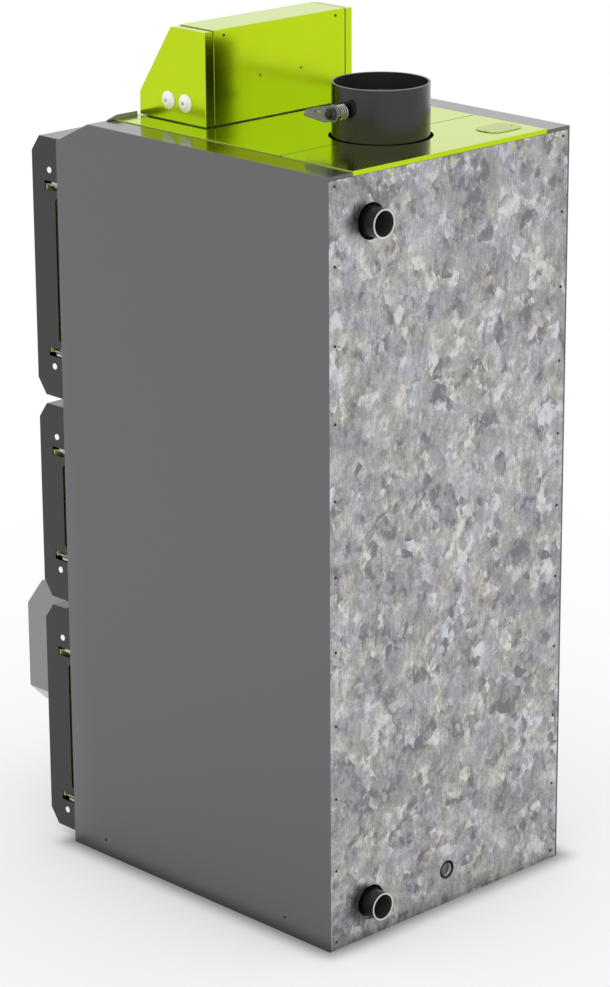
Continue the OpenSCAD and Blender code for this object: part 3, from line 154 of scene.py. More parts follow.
def surface_point(tree, scale=(1, 1, 1), turn=(0, 0, 0)):
    """Object coordinates, stretched or turned for a pattern."""
    where = add(tree, "TexCoord").outputs["Object"]
    return add(tree, "Mapping", {"Vector": where, "Scale": scale, "Rotation": turn}).outputs["Vector"]


def lacquer(name, colour, roughness=0.16, peel=0.03, coat=0.5):
    """Metallic stove lacquer on sheet steel: baked, and glossy enough to mirror what stands near it."""
    material, tree, shader = start_finish(
        name, colour, 1.0, roughness, Coat_Weight=coat, Coat_Roughness=0.08, Coat_IOR=1.35)
    where = surface_point(tree)
    # faint clouds 70 mm wide in the gloss, where the spray lay thicker
    cloud = add(tree, "TexNoise", {"Vector": where, "Scale": 14.0, "Detail": 3.0})
    gloss = add(tree, "MapRange", {
        "Value": cloud.outputs["Fac"], "From Min": 0.3, "From Max": 0.7,
        "To Min": roughness - 0.02, "To Max": roughness + 0.03})
    tree.links.new(gloss.outputs["Result"], shader.inputs["Roughness"])
    # orange peel, 3 mm from crest to crest and a few thousandths deep
    grain = add(tree, "TexNoise", {"Vector": where, "Scale": 330.0, "Detail": 2.0})
    bump = add(tree, "Bump", {"Height": grain.outputs["Fac"], "Strength": peel, "Distance": 0.0002})
    tree.links.new(bump.outputs["Normal"], shader.inputs["Normal"])
    return material


def bent_points(tree, where, reach):
    """The shift that a rough noise gives each point, up to that reach in metres, and the shifted points."""
    warp = add(tree, "TexNoise", {"Vector": where, "Scale": 30.0, "Detail": 3.0, "Roughness": 0.6})
    push = add(tree, "VectorMath", {0: warp.outputs["Color"], 1: (0.5, 0.5, 0.5)}, operation="SUBTRACT")
    shift = add(tree, "VectorMath", {0: push.outputs["Vector"], "Scale": 2 * reach}, operation="SCALE")
    bent = add(tree, "VectorMath", {0: where, 1: shift.outputs["Vector"]}, operation="ADD")
    return shift.outputs["Vector"], bent.outputs["Vector"]


def make_galvanised():
    """Hot-dip galvanised sheet: pale feathers and crisp crystals in grey clouds, with upright streaks."""
    material, tree, shader = start_finish("galvanised_sheet", "9C9C9D", 0.85, 0.3)
    where = surface_point(tree)
    shift, bent = bent_points(tree, where, 15 * MM)
    leaning = add(tree, "Mapping", {"Vector": bent, "Scale": (1.0, 1.0, 0.85), "Rotation": (0, 0.2, 0)})
    nudge = add(tree, "VectorMath", {0: shift, "Scale": 0.35}, operation="SCALE")
    nudged = add(tree, "VectorMath", {0: where, 1: nudge.outputs["Vector"]}, operation="ADD")
    celled = add(tree, "Mapping", {
        "Vector": nudged.outputs["Vector"], "Scale": (1.0, 1.0, 0.8), "Rotation": (0, 0.15, 0)})
    drawn = add(tree, "Mapping", {"Vector": bent, "Scale": (1.0, 1.0, 0.3)})
    upright = surface_point(tree, scale=(1, 1, 0.16))
    # clouds 90 mm wide and feathers of 25 mm
    clouds = add(tree, "TexNoise", {"Vector": bent, "Scale": 11.0, "Detail": 2.0, "Roughness": 0.5})
    feathers = add(tree, "TexNoise", {
        "Vector": leaning.outputs["Vector"], "Scale": 42.0,
        "Detail": 5.0, "Roughness": 0.62, "Distortion": 0.9})
    # crystals of 33, 18 and 10 mm, crisp in some patches 40 mm wide and drowned in others
    patches = add(tree, "TexNoise", {"Vector": bent, "Scale": 24.0, "Detail": 2.0, "Roughness": 0.55})
    crisp = add(tree, "MapRange", {
        "Value": patches.outputs["Fac"], "From Min": 0.46, "From Max": 0.62,
        "To Min": 0.22, "To Max": 1.15})
    crystals = []
    for scale in (30.0, 56.0, 104.0):
        cells = add(tree, "TexVoronoi", {"Vector": celled.outputs["Vector"], "Scale": scale})
        shade = add(tree, "SeparateColor", {"Color": cells.outputs["Color"]})
        level = add(tree, "Math", {0: shade.outputs["Red"], 1: 0.5}, operation="SUBTRACT")
        faded = add(tree, "Math", {
            0: level.outputs["Value"], 1: crisp.outputs["Result"]}, operation="MULTIPLY")
        crystals.append(faded.outputs["Value"])
    # streaks 25 mm long, grit of 2 mm, scratches 12 mm long
    streaks = add(tree, "TexNoise", {
        "Vector": drawn.outputs["Vector"], "Scale": 130.0, "Detail": 3.0, "Roughness": 0.6})
    grit = add(tree, "TexNoise", {"Vector": where, "Scale": 480.0, "Detail": 2.0, "Roughness": 0.7})
    scratches = add(tree, "TexNoise", {"Vector": upright, "Scale": 520.0, "Detail": 2.0, "Roughness": 0.6})
    tone = add(tree, "Math", {0: clouds.outputs["Fac"], 1: 0.34, 2: 0.0}, operation="MULTIPLY_ADD")
    for source, share in ((feathers.outputs["Fac"], 0.5), (crystals[0], 0.24), (crystals[1], 0.37),
                          (crystals[2], 0.27), (streaks.outputs["Fac"], 0.3), (grit.outputs["Fac"], 0.42),
                          (scratches.outputs["Fac"], 0.28)):
        tone = add(tree, "Math", {0: source, 1: share, 2: tone.outputs["Value"]}, operation="MULTIPLY_ADD")
    full = add(tree, "MapRange", {"Value": tone.outputs["Value"], "From Min": 0.678, "From Max": 1.162})
    ramp = add(tree, "ValToRGB", {"Fac": full.outputs["Result"]})
    ramp.color_ramp.elements[0].color = rgb("7C7C80")
    ramp.color_ramp.elements[1].color = rgb("D8D9D8")
    ramp.color_ramp.elements.new(0.5).color = rgb("A8A8A8")
    # some clouds lean to straw and some to blue
    tint = add(tree, "TexNoise", {"Vector": bent, "Scale": 19.0, "Detail": 1.0})
    cast = add(tree, "ValToRGB", {"Fac": tint.outputs["Fac"]})
    cast.color_ramp.elements[0].position, cast.color_ramp.elements[1].position = 0.36, 0.64
    cast.color_ramp.elements[0].color = rgb("F7F7FF")
    cast.color_ramp.elements[1].color = rgb("FFFBF5")
    colour = add(tree, "Mix", {
        "Factor": 1.0, 6: ramp.outputs["Color"], 7: cast.outputs["Color"],
    }, data_type="RGBA", blend_type="MULTIPLY").outputs[2]
    # painted shadow and reflection of each pipe: a darker patch on the zinc beside it
    for z in PIPE_HEIGHTS:
        rubbed = (PIPE_X + 20 * MM, CASING_HALF["Y"], z + 3 * MM)
        aside = add(tree, "VectorMath", {0: bent, 1: rubbed}, operation="DISTANCE")
        level = add(tree, "MapRange", {
            "Value": aside.outputs["Value"], "From Min": 16 * MM, "From Max": 46 * MM,
            "To Min": 0.3, "To Max": 1.0}, interpolation_type="SMOOTHSTEP").outputs["Result"]
        grey = add(tree, "CombineColor", {"Red": level, "Green": level, "Blue": level})
        colour = add(tree, "Mix", {
            "Factor": 1.0, 6: colour, 7: grey.outputs["Color"],
        }, data_type="RGBA", blend_type="MULTIPLY").outputs[2]
    tree.links.new(colour, shader.inputs["Base Color"])
    gloss = add(tree, "MapRange", {
        "Value": feathers.outputs["Fac"], "From Min": 0.3, "From Max": 0.7, "To Min": 0.24, "To Max": 0.36})
    tree.links.new(gloss.outputs["Result"], shader.inputs["Roughness"])
    bump = add(tree, "Bump", {"Height": tone.outputs["Value"], "Strength": 0.04, "Distance": 0.0004})
    tree.links.new(bump.outputs["Normal"], shader.inputs["Normal"])
    return material


def make_zinc_plate():
    """Bright zinc plating on small hardware: pale blue-silver, tumbled to a soft sheen."""
    material, tree, shader = start_finish("bright_zinc_plate", "B9BBBE", 1.0, 0.28)
    cloud = add(tree, "TexNoise", {"Vector": surface_point(tree), "Scale": 180.0, "Detail": 4.0})
    tone = add(tree, "ValToRGB", {"Fac": cloud.outputs["Fac"]})
    tone.color_ramp.elements[0].color = rgb("9C9EA2")
    tone.color_ramp.elements[1].color = rgb("CDCFD2")
    tree.links.new(tone.outputs["Color"], shader.inputs["Base Color"])
    gloss = add(tree, "MapRange", {"Value": cloud.outputs["Fac"], "To Min": 0.2, "To Max": 0.36})
    tree.links.new(gloss.outputs["Result"], shader.inputs["Roughness"])
    return material


def make_bare_steel(name, dark, light, metallic=0.9):
    """Bare, stained or sooty steel: scale in clouds 60 mm wide, with rubbed paler places."""
    material, tree, shader = start_finish(name, dark, metallic, 0.5)
    where = surface_point(tree)
    cloud = add(tree, "TexNoise", {"Vector": where, "Scale": 16.0, "Detail": 8.0, "Roughness": 0.65})
    tone = add(tree, "ValToRGB", {"Fac": cloud.outputs["Fac"]})
    tone.color_ramp.elements[0].position, tone.color_ramp.elements[1].position = 0.35, 0.7
    tone.color_ramp.elements[0].color = rgb(dark)
    tone.color_ramp.elements[1].color = rgb(light)
    tree.links.new(tone.outputs["Color"], shader.inputs["Base Color"])
    gloss = add(tree, "MapRange", {"Value": cloud.outputs["Fac"], "To Min": 0.4, "To Max": 0.62})
    tree.links.new(gloss.outputs["Result"], shader.inputs["Roughness"])
    grit = add(tree, "TexNoise", {"Vector": where, "Scale": 700.0, "Detail": 3.0})
    bump = add(tree, "Bump", {"Height": grit.outputs["Fac"], "Strength": 0.15, "Distance": 0.0004})
    tree.links.new(bump.outputs["Normal"], shader.inputs["Normal"])
    return material


def make_plastic(name, colour, roughness, grain):
    """Moulded plastic, a thin lacquer or ink: even colour over a grain finer than a millimetre."""
    material, tree, shader = start_finish(name, colour, 0.0, roughness, IOR=1.49)
    where = surface_point(tree)
    fine = add(tree, "TexNoise", {"Vector": where, "Scale": 1400.0, "Detail": 2.0})
    bump = add(tree, "Bump", {"Height": fine.outputs["Fac"], "Strength": grain, "Distance": 0.0002})
    tree.links.new(bump.outputs["Normal"], shader.inputs["Normal"])
    broad = add(tree, "TexNoise", {"Vector": where, "Scale": 60.0, "Detail": 2.0})
    gloss = add(tree, "MapRange", {
        "Value": broad.outputs["Fac"], "To Min": roughness - 0.04, "To Max": roughness + 0.05})
    tree.links.new(gloss.outputs["Result"], shader.inputs["Roughness"])
    return material


def make_board():
    """Pressed vermiculite board: straw-brown with flakes of 2 mm."""
    material, tree, shader = start_finish("vermiculite_board", "B59A72", 0.0, 0.85)
    flakes = add(tree, "TexVoronoi", {"Vector": surface_point(tree), "Scale": 420.0})
    tone = add(tree, "SeparateColor", {"Color": flakes.outputs["Color"]})
    ramp = add(tree, "ValToRGB", {"Fac": tone.outputs["Red"]})
    ramp.color_ramp.elements[0].color = rgb("8A7250")
    ramp.color_ramp.elements[1].color = rgb("D2BC94")
    tree.links.new(ramp.outputs["Color"], shader.inputs["Base Color"])
    bump = add(tree, "Bump", {"Height": tone.outputs["Green"], "Strength": 0.35, "Distance": 0.0006})
    tree.links.new(bump.outputs["Normal"], shader.inputs["Normal"])
    return material


def make_wool():
    """Mineral wool mat: yellow-brown spun fibres, matted in lumps of 6 mm."""
    material, tree, shader = start_finish("mineral_wool_mat", "B8A567", 0.0, 0.95)
    where = surface_point(tree, scale=(1, 1, 3))
    fibre = add(tree, "TexNoise", {
        "Vector": where, "Scale": 160.0, "Detail": 8.0, "Roughness": 0.75, "Distortion": 1.5})
    ramp = add(tree, "ValToRGB", {"Fac": fibre.outputs["Fac"]})
    ramp.color_ramp.elements[0].position, ramp.color_ramp.elements[1].position = 0.35, 0.68
    ramp.color_ramp.elements[0].color = rgb("80703C")
    ramp.color_ramp.elements[1].color = rgb("CDBD84")
    tree.links.new(ramp.outputs["Color"], shader.inputs["Base Color"])
    bump = add(tree, "Bump", {"Height": fibre.outputs["Fac"], "Strength": 0.8, "Distance": 0.003})
    tree.links.new(bump.outputs["Normal"], shader.inputs["Normal"])
    return material


def make_rope():
    """Braided glass rope: off-white yarns 8 mm apart that cross on the slant."""
    material, tree, shader = start_finish("braided_glass_rope", "D9D6CC", 0.0, 0.8)
    yarns = []
    for slant in (0.8, -0.8):
        where = surface_point(tree, turn=(0, slant, 0))
        yarns.append(add(tree, "TexWave", {
            "Vector": where, "Scale": 40.0, "Distortion": 0.6}, bands_direction="X").outputs["Fac"])
    braid = add(tree, "Math", {0: yarns[0], 1: yarns[1]}, operation="MAXIMUM").outputs["Value"]
    ramp = add(tree, "ValToRGB", {"Fac": braid})
    ramp.color_ramp.elements[0].color = rgb("9C998F")
    ramp.color_ramp.elements[1].color = rgb("E4E1D8")
    tree.links.new(ramp.outputs["Color"], shader.inputs["Base Color"])
    bump = add(tree, "Bump", {"Height": braid, "Strength": 0.7, "Distance": 0.0015})
    tree.links.new(bump.outputs["Normal"], shader.inputs["Normal"])
    return material


def make_display():
    """Smoked acrylic window over an unlit panel: black, mirror smooth."""
    material, tree, shader = start_finish("smoked_acrylic", "0B0D10", 0.0, 0.05, IOR=1.49, Coat_Weight=0.6)
    dust = add(tree, "TexNoise", {"Vector": surface_point(tree), "Scale": 90.0, "Detail": 5.0})
    gloss = add(tree, "MapRange", {"Value": dust.outputs["Fac"], "To Min": 0.03, "To Max": 0.1})
    tree.links.new(gloss.outputs["Result"], shader.inputs["Roughness"])
    return material


lime_lacquer = lacquer("lime_stove_lacquer", "BCD700", coat=0.35)
# painted shade: a darker lime for the hatch cover than for the lid
shaded_hatch_lacquer = lacquer("lime_lacquer_darkened_as_painted_shade", "A9BE1E", roughness=0.22, coat=0.25)
# painted highlight: a paler, non-metallic lime for the sheets' side edges, so they show as bright lines
lime_edge_highlight = make_plastic("pale_lime_edge_as_painted_highlight", "C6DC4E", 0.35, 0.02)
grey_lacquer = lacquer("grey_stove_lacquer", "69696A", coat=0.28)
door_lacquer = lacquer("anthracite_stove_lacquer", "3A3A3A", roughness=0.2)
light_lacquer = lacquer("light_grey_stove_lacquer", "8A8A8A", roughness=0.2)
flue_lacquer = lacquer("heat_proof_black_paint", "3E3E3E", roughness=0.24, coat=0.35)
pipe_paint = lacquer("black_pipe_paint", "4A4A4C", roughness=0.34, coat=0.3)
galvanised = make_galvanised()
zinc = make_zinc_plate()
bare_steel = make_bare_steel("hot_rolled_steel", "4E4C4A", "8C8A86")
fire_steel = make_bare_steel("fired_boiler_steel", "2E2A27", "5E5751", metallic=0.6)
# painted shade: a duller, darker lime for the hinge webs seen in the door slots
lime_in_painted_shade = make_plastic("lime_lacquer_painted_as_shade", "A3AC72", 0.4, 0.02)
bright_rim = make_bare_steel("sawn_steel_rim", "C9C8C4", "E0DFDB")
# painted highlight: near-white bare steel for the drain socket's bore
bore_highlight_steel = make_bare_steel("bare_bore_with_painted_highlight", "D6D6D3", "EEEEEA", metallic=0.3)
# painted highlight: a paler grey for the flue stub's rim
rim_highlight_paint = make_bare_steel("pale_rim_as_painted_highlight", "77776F", "A5A59C")
# near-black steel: soot in the flue's bore, painted shade on the lever's lower rim, the hinge tabs and the
# spring's sleeve, and also on the damper shaft's end
soot_and_painted_shade = make_bare_steel("sooty_steel_and_painted_shade", "0B0B0B", "131312", metallic=0.0)
# painted shade: dark steel for the damper disc in the flue's bore and for the pipes' bores
bore_shade_steel = make_bare_steel("dark_steel_as_painted_bore_shade", "343433", "444442", metallic=0.0)
upstand_grey = make_plastic("dull_grey_lacquer", "8C8F86", 0.4, 0.05)
dark_zinc = make_bare_steel("dulled_zinc_plate", "7C7C7A", "8E8E8C", metallic=0.3)
nut_steel = make_bare_steel("oiled_steel_nut", "3A3A3C", "545456", metallic=0.5)
rivet_steel = make_bare_steel("dull_rivet_steel", "727264", "9A9A88")
spring_steel = make_bare_steel("bright_spring_wire", "D6D6D2", "F4F4F0")
mark_paint = make_plastic("white_printing_ink", "E9E9E6", 0.5, 0.02)
white_plastic = make_plastic("white_moulded_nylon", "FFFFFA", 0.25, 0.04)
black_plastic = make_plastic("black_moulded_plastic", "151516", 0.48, 0.12)
board = make_board()
wool = make_wool()
rope = make_rope()
display_glass = make_display()

FINISH_OF_SLOT = {
    "lime_paint": lime_lacquer, "grey_paint": grey_lacquer, "door_paint": door_lacquer,
    "flue_paint": flue_lacquer, "cover_paint": light_lacquer,
    "galvanised": galvanised, "zinc_plate": zinc, "bare_steel": bare_steel, "fire_steel": fire_steel,
    "white_plastic": white_plastic, "black_plastic": black_plastic, "display_glass": display_glass,
    "mineral_board": board, "mineral_wool": wool, "glass_rope": rope,
}

slot_of = {row["node"]: row["material_slot"] for row in frame["record"]["subparts"]}
body_of = {name: body for body, names in frame["record"]["behaviour"]["bodies"].items() for name in names}
for name, node in nodes.items():
    node.material_slots[0].material = FINISH_OF_SLOT[slot_of[name]]


# Making pieces

def finish_piece(bm, name, body, finish, smooth_below=35, replaced=(), even=True):
    """Turns a bmesh into a piece of that body: smooth over shallow angles, crisp over the others."""
    for face in bm.faces:
        face.smooth = True
    for edge in bm.edges:
        edge.smooth = edge.is_manifold and edge.calc_face_angle() < math.radians(smooth_below)
    mesh = bpy.data.meshes.new(name)
    bm.to_mesh(mesh)
    bm.free()
    mesh.materials.append(finish)
    piece = bpy.data.objects.new(name, mesh)
    scene.collection.objects.link(piece)
    if even:
        # keeps the flats flat beside their rounded edges
        weighted = piece.modifiers.new("flat_faces", "WEIGHTED_NORMAL")
        weighted.keep_sharp = True
    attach(piece, body)
    if replaced:
        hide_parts(*replaced)
    return piece


def merged_copy(name):
    """The closed mesh of a CAD node, with its flat triangles joined."""
    bm = bmesh.new()
    bm.from_mesh(nodes[name].data)
    bmesh.ops.remove_doubles(bm, verts=bm.verts, dist=0.002 * MM)
    bmesh.ops.dissolve_limit(
        bm, angle_limit=math.radians(0.6), verts=bm.verts, edges=bm.edges, use_dissolve_boundaries=False)
    # a face that goes around a hole would fill it once its rim is bevelled
    bmesh.ops.connect_verts_concave(bm, faces=bm.faces)
    return bm


def round_off(bm, edges, radius, segments, clamp=False):
    """Rounds those edges."""
    bmesh.ops.bevel(bm, geom=edges, offset=radius, offset_type="OFFSET", affect="EDGES", segments=segments,
                    profile=0.5, material=-1, clamp_overlap=clamp)


def crisp_edges(bm):
    """Edges where two faces meet at 25 degrees or more."""
    return [edge for edge in bm.edges if edge.is_manifold and edge.calc_face_angle() >= math.radians(25)]


def narrower_side(edge):
    """Mean width of the narrower face beside an edge."""
    return min(face.calc_area() for face in edge.link_faces) / edge.calc_length()


def round_passes(bm, passes):
    """Rounds the crisp outward edges; each pass is (least width beside them, radius, segments)."""
    for least, radius, segments in passes:
        picked = [edge for edge in crisp_edges(bm) if edge.is_convex and narrower_side(edge) > least]
        if picked:
            round_off(bm, picked, radius, segments, clamp=True)


def pull(bm, faces, by):
    """Extrudes the faces by that vector and gives their new vertices."""
    grown = bmesh.ops.extrude_face_region(bm, geom=faces)["geom"]
    moved = [part for part in grown if isinstance(part, bmesh.types.BMVert)]
    bmesh.ops.translate(bm, verts=moved, vec=by)
    return moved


def dress(name, passes, finish=None):
    """A copy of a CAD node with rounded bends and broken rims, shown in its place."""
    bm = merged_copy(name)
    round_passes(bm, passes)
    return finish_piece(bm, name + "_dressed", body_of[name],
                        finish or FINISH_OF_SLOT[slot_of[name]], replaced=[name])


def paint_faces(piece, finish, test):
    """Gives another finish to the faces whose centre and normal pass the test."""
    piece.data.materials.append(finish)
    index = len(piece.data.materials) - 1
    for face in piece.data.polygons:
        if test(face.center, face.normal):
            face.material_index = index


SHEET = [(0.9 * MM, 0.28 * MM, 1)]
FOLDED = [(4.5 * MM, 1.6 * MM, 3), *SHEET]
GRIP = [(9 * MM, 3.5 * MM, 4)]
# the fascia's upstand is above this height, and a bracket's web shows beyond this X
UPSTAND_FOOT_Z = LID_Z - 4 * MM
BRACKET_WEB_X = 250 * MM

# folded and lacquered sheets: 1.6 mm bends that catch a bright line, rims barely broken
for name in ("side_panel_right", "side_panel_left", "fascia", "lid_rear", "console_ends", "console_cover",
             "console_front", "lower_door", "middle_door", "upper_door", "burner_cover", "burner_cap"):
    piece = dress(name, FOLDED)
    if name in ("lid_rear", "console_cover"):
        # painted highlight on the side edges of the rear lid and the console cover
        paint_faces(piece, lime_edge_highlight, lambda centre, normal: abs(normal.x) > 0.9 and normal.z < 0.3)
    if name == "fascia":
        paint_faces(piece, upstand_grey,
                    lambda centre, normal: normal.y > 0.5 and centre.z > UPSTAND_FOOT_Z)
for name in ("rear_panel", "console_tray", "base_pan"):
    dress(name, SHEET)
# painted highlight on the front lid's side edges
paint_faces(dress("lid_front", SHEET), lime_edge_highlight, lambda centre, normal: abs(normal.x) > 0.9)
# painted shade: the hatch cover in a darker lime than the lid
dress("hatch_cover", SHEET, shaded_hatch_lacquer)

# the damper's lever is painted near-black along its lower rim as its shade, and the rivets are dull
lever = dress("damper_lever", SHEET, dark_zinc)
paint_faces(lever, soot_and_painted_shade, lambda centre, normal: abs(normal.x) < 0.5 and normal.z < -0.2)
nodes["rivets"].material_slots[0].material = rivet_steel

# handles: moulded grips, so every edge is round
for name in ("lower_handle", "middle_handle", "upper_handle"):
    dress(name, GRIP)

# hinge brackets: lime webs, painted darker as shade where they stand in the slots, and tabs that the lugs
# rub on, painted near-black as shade
for name in ("lower_hinge", "middle_hinge", "upper_hinge"):
    bracket = dress(name, SHEET)
    paint_faces(bracket, lime_in_painted_shade, lambda centre, normal: centre.x > BRACKET_WEB_X)
    paint_faces(bracket, soot_and_painted_shade, lambda centre, normal: abs(normal.z) > 0.5)


# Flue stub, damper and water pipes

def from_flue(point):
    """Distance from the flue's upright axis."""
    return math.hypot(point.x, point.y - FLUE_Y)


def dress_flue():
    """The stub with its outside drawn out in one line, a rim painted paler grey as a highlight, and a sooty
    bore.
    """
    rim_round, upper_part = 0.5 * MM, FLUE_TOP - 30 * MM
    bm = merged_copy("flue_stub")
    for vert in bm.verts:
        r = from_flue(vert.co)
        if abs(r - FLUE_R) < CLOSE and vert.co.z > upper_part:
            vert.co.x *= FLUE_BODY_R / r
            vert.co.y = FLUE_Y + (vert.co.y - FLUE_Y) * FLUE_BODY_R / r
    rims = [edge for edge in bm.edges if all(vert.co.z > FLUE_TOP - CLOSE for vert in edge.verts)]
    round_off(bm, rims, rim_round, 2)
    stub = finish_piece(bm, "flue_stub_dressed", "casing", flue_lacquer,
                        replaced=["flue_stub"])
    paint_faces(stub, soot_and_painted_shade, lambda centre, normal: from_flue(centre) < FLUE_BORE_R + CLOSE)
    # painted highlight: the rounded rim in a paler grey
    paint_faces(stub, rim_highlight_paint, lambda centre, normal: centre.z > FLUE_TOP - rim_round - CLOSE)


def spring_wire():
    """Five turns of round wire along X around the damper's shaft."""
    coil_r, wire_r, wire_sides, turns, steps_per_turn = 11.4 * MM, 0.85 * MM, 10, 5, 28
    start, end = SPRING_X
    bm = bmesh.new()
    ring = bmesh.ops.create_circle(bm, cap_ends=False, radius=wire_r, segments=wire_sides)["verts"]
    bmesh.ops.rotate(bm, verts=ring, cent=(0, 0, 0), matrix=Matrix.Rotation(math.radians(90), 3, "X"))
    bmesh.ops.translate(bm, verts=ring, vec=(start + wire_r, FLUE_Y, DAMPER_Z + coil_r))
    steps = turns * steps_per_turn
    pitch = (end - start - 2 * wire_r) / steps
    bmesh.ops.spin(bm, geom=bm.verts[:] + bm.edges[:], cent=(0, FLUE_Y, DAMPER_Z), axis=(1, 0, 0),
                   dvec=(pitch, 0, 0), angle=turns * math.tau, steps=steps,
                   use_merge=False, use_duplicate=False)
    bmesh.ops.holes_fill(bm, edges=[edge for edge in bm.edges if edge.is_boundary], sides=wire_sides)
    bmesh.ops.recalc_face_normals(bm, faces=bm.faces)
    finish_piece(bm, "damper_spring_wire", "damper", spring_steel,
                 smooth_below=60, replaced=["damper_spring"])


def shaft_piece(name, reach, radius, sides, finish):
    """A nut or a sleeve on the damper's shaft, with broken corners."""
    start, end = reach
    bm = bmesh.new()
    bmesh.ops.create_circle(bm, cap_ends=True, radius=radius, segments=sides)
    bmesh.ops.rotate(bm, verts=bm.verts, cent=(0, 0, 0), matrix=Matrix.Rotation(math.radians(90), 3, "Y"))
    bmesh.ops.translate(bm, verts=bm.verts, vec=(start, FLUE_Y, DAMPER_Z))
    pull(bm, bm.faces[:], (end - start, 0, 0))
    bmesh.ops.recalc_face_normals(bm, faces=bm.faces)
    round_off(bm, crisp_edges(bm), 0.8 * MM, 2)
    finish_piece(bm, name, "damper", finish)


def dress_damper():
    """The disc and its shaft in dark steel as painted shade in the flue's bore, the shaft's end turned down
    to a cone.
    """
    cone_share, cone_length = 0.6, 1 * MM
    bm = merged_copy("damper_disc")
    bmesh.ops.bisect_plane(bm, geom=bm.verts[:] + bm.edges[:] + bm.faces[:], plane_co=(SHAFT_CONE_X, 0, 0),
                           plane_no=(1, 0, 0))
    for vert in bm.verts:
        if vert.co.x > SHAFT_CONE_X + cone_length:
            vert.co.y = FLUE_Y + (vert.co.y - FLUE_Y) * cone_share
            vert.co.z = DAMPER_Z + (vert.co.z - DAMPER_Z) * cone_share
    damper = finish_piece(bm, "damper_disc_dressed", "damper", bore_shade_steel,
                          replaced=["damper_disc"])
    paint_faces(damper, soot_and_painted_shade, lambda centre, normal: centre.x > SHAFT_CONE_X)


def dress_pipes():
    """Painted pipes with bare sawn ends and a black bore."""
    rim_round, around_pipe = 0.35 * MM, 30 * MM

    def from_pipe(point, z):
        return math.hypot(point.x - PIPE_X, point.z - z)

    def on_rim(centre, normal, z):
        at_end = centre.y > PIPE_END_Y - 0.5 * MM and normal.y > 0.3
        return at_end and from_pipe(centre, z) < around_pipe

    bm = merged_copy("water_pipes")
    round_passes(bm, [(0.9 * MM, rim_round, 2)])
    pipes = finish_piece(bm, "water_pipes_dressed", "casing", pipe_paint,
                         replaced=["water_pipes"])
    for z in PIPE_HEIGHTS:
        # painted shade: the bores in dark steel
        paint_faces(pipes, bore_shade_steel, lambda centre, normal: from_pipe(centre, z) < PIPE_BORE_R + CLOSE)
        paint_faces(pipes, bright_rim, lambda centre, normal: on_rim(centre, normal, z))


def drain():
    """Socket with a bare bore painted near-white as a highlight, and a plain plug set back in it."""
    plug_r, plug_depth, plug_length = DRAIN_BORE_R - 0.15 * MM, 24 * MM, 19.5 * MM
    socket = dress("drain_socket", SHEET, pipe_paint)
    # painted highlight: the socket's bore in near-white bare steel
    paint_faces(socket, bore_highlight_steel,
                lambda centre, normal: math.hypot(centre.x, centre.z - DRAIN_Z) < DRAIN_BORE_R + CLOSE)
    bm = bmesh.new()
    bmesh.ops.create_circle(bm, cap_ends=True, radius=plug_r, segments=48)
    bmesh.ops.rotate(bm, verts=bm.verts, cent=(0, 0, 0), matrix=Matrix.Rotation(math.radians(-90), 3, "X"))
    bmesh.ops.translate(bm, verts=bm.verts, vec=(0, DRAIN_END_Y - plug_depth, DRAIN_Z))
    pull(bm, bm.faces[:], (0, plug_length, 0))
    bmesh.ops.recalc_face_normals(bm, faces=bm.faces)
    round_off(bm, crisp_edges(bm), 0.8 * MM, 3)
    finish_piece(bm, "drain_plug_plain", "casing", grey_lacquer,
                 replaced=["drain_plug"])


dress_flue()
spring_wire()
# painted shade: a near-black sleeve inside the spring, so the gaps between its turns are dark
shaft_piece("spring_sleeve", SPRING_X, 9.6 * MM, 48, soot_and_painted_shade)
shaft_piece("damper_nut", NUT_X, 11 * MM, 6, nut_steel)
dress_damper()
dress_pipes()
drain()


# Soft pieces: rope in the doors and wool around the water body

def rope_seals():
    """Three loops of braided rope, round where the doors press on them."""
    bm = merged_copy("door_seals")
    rounded = [edge for edge in bm.edges if not edge.is_convex or edge.calc_length() > 100 * MM]
    round_off(bm, rounded, 2.6 * MM, 4, clamp=True)
    seals = finish_piece(bm, "door_rope_seals", "casing", rope,
                         replaced=["door_seals"])


def widen_hole(bm, axis, x, across, cut_r, wide_r):
    """Moves the vertices of a round hole out to a wider radius; across is its centre's Y or Z."""
    other = "y" if axis == "Z" else "z"
    for vert in bm.verts:
        u, v = vert.co.x - x, getattr(vert.co, other) - across
        r = math.hypot(u, v)
        if abs(r - cut_r) < 4 * CLOSE:
            vert.co.x = x + u * wide_r / r
            setattr(vert.co, other, across + v * wide_r / r)


def wool_mat():
    """The mat around the water body: a lumpy face and wide cut-outs around the pipes and the flue."""
    pressed, longest_edge, lump_depth, lumps_per_metre = 8 * MM, 45 * MM, 1.6 * MM, 28.0
    bm = merged_copy("wool_wrap")
    widen_hole(bm, "Z", 0, FLUE_Y, FLUE_HOLE_R, 94 * MM)
    for z in PIPE_HEIGHTS:
        widen_hole(bm, "Y", PIPE_X, z, 30 * MM, 42 * MM)
    widen_hole(bm, "Y", 0, DRAIN_Z, 16.7 * MM, 26 * MM)
    # its top is pressed down, clear of the lid's joint
    top = max(vert.co.z for vert in bm.verts)
    for vert in bm.verts:
        if vert.co.z > top - 1 * MM:
            vert.co.z -= pressed
    bmesh.ops.triangulate(bm, faces=bm.faces)
    for _ in range(5):
        long_edges = [edge for edge in bm.edges if edge.calc_length() > longest_edge]
        if long_edges:
            bmesh.ops.subdivide_edges(bm, edges=long_edges, cuts=1, use_grid_fill=False)
            bmesh.ops.triangulate(bm, faces=[face for face in bm.faces if len(face.verts) > 3])
    bm.normal_update()
    for vert in bm.verts:
        lump = noise.noise(vert.co * lumps_per_metre) * 0.5 + 0.5
        vert.co -= vert.normal * lump * lump_depth
    mat = finish_piece(bm, "wool_mat", "casing", wool, smooth_below=50,
                       replaced=["wool_wrap"], even=False)


rope_seals()
wool_mat()


# Operating panel: bezel, dial ticks, pointer and rocker marks

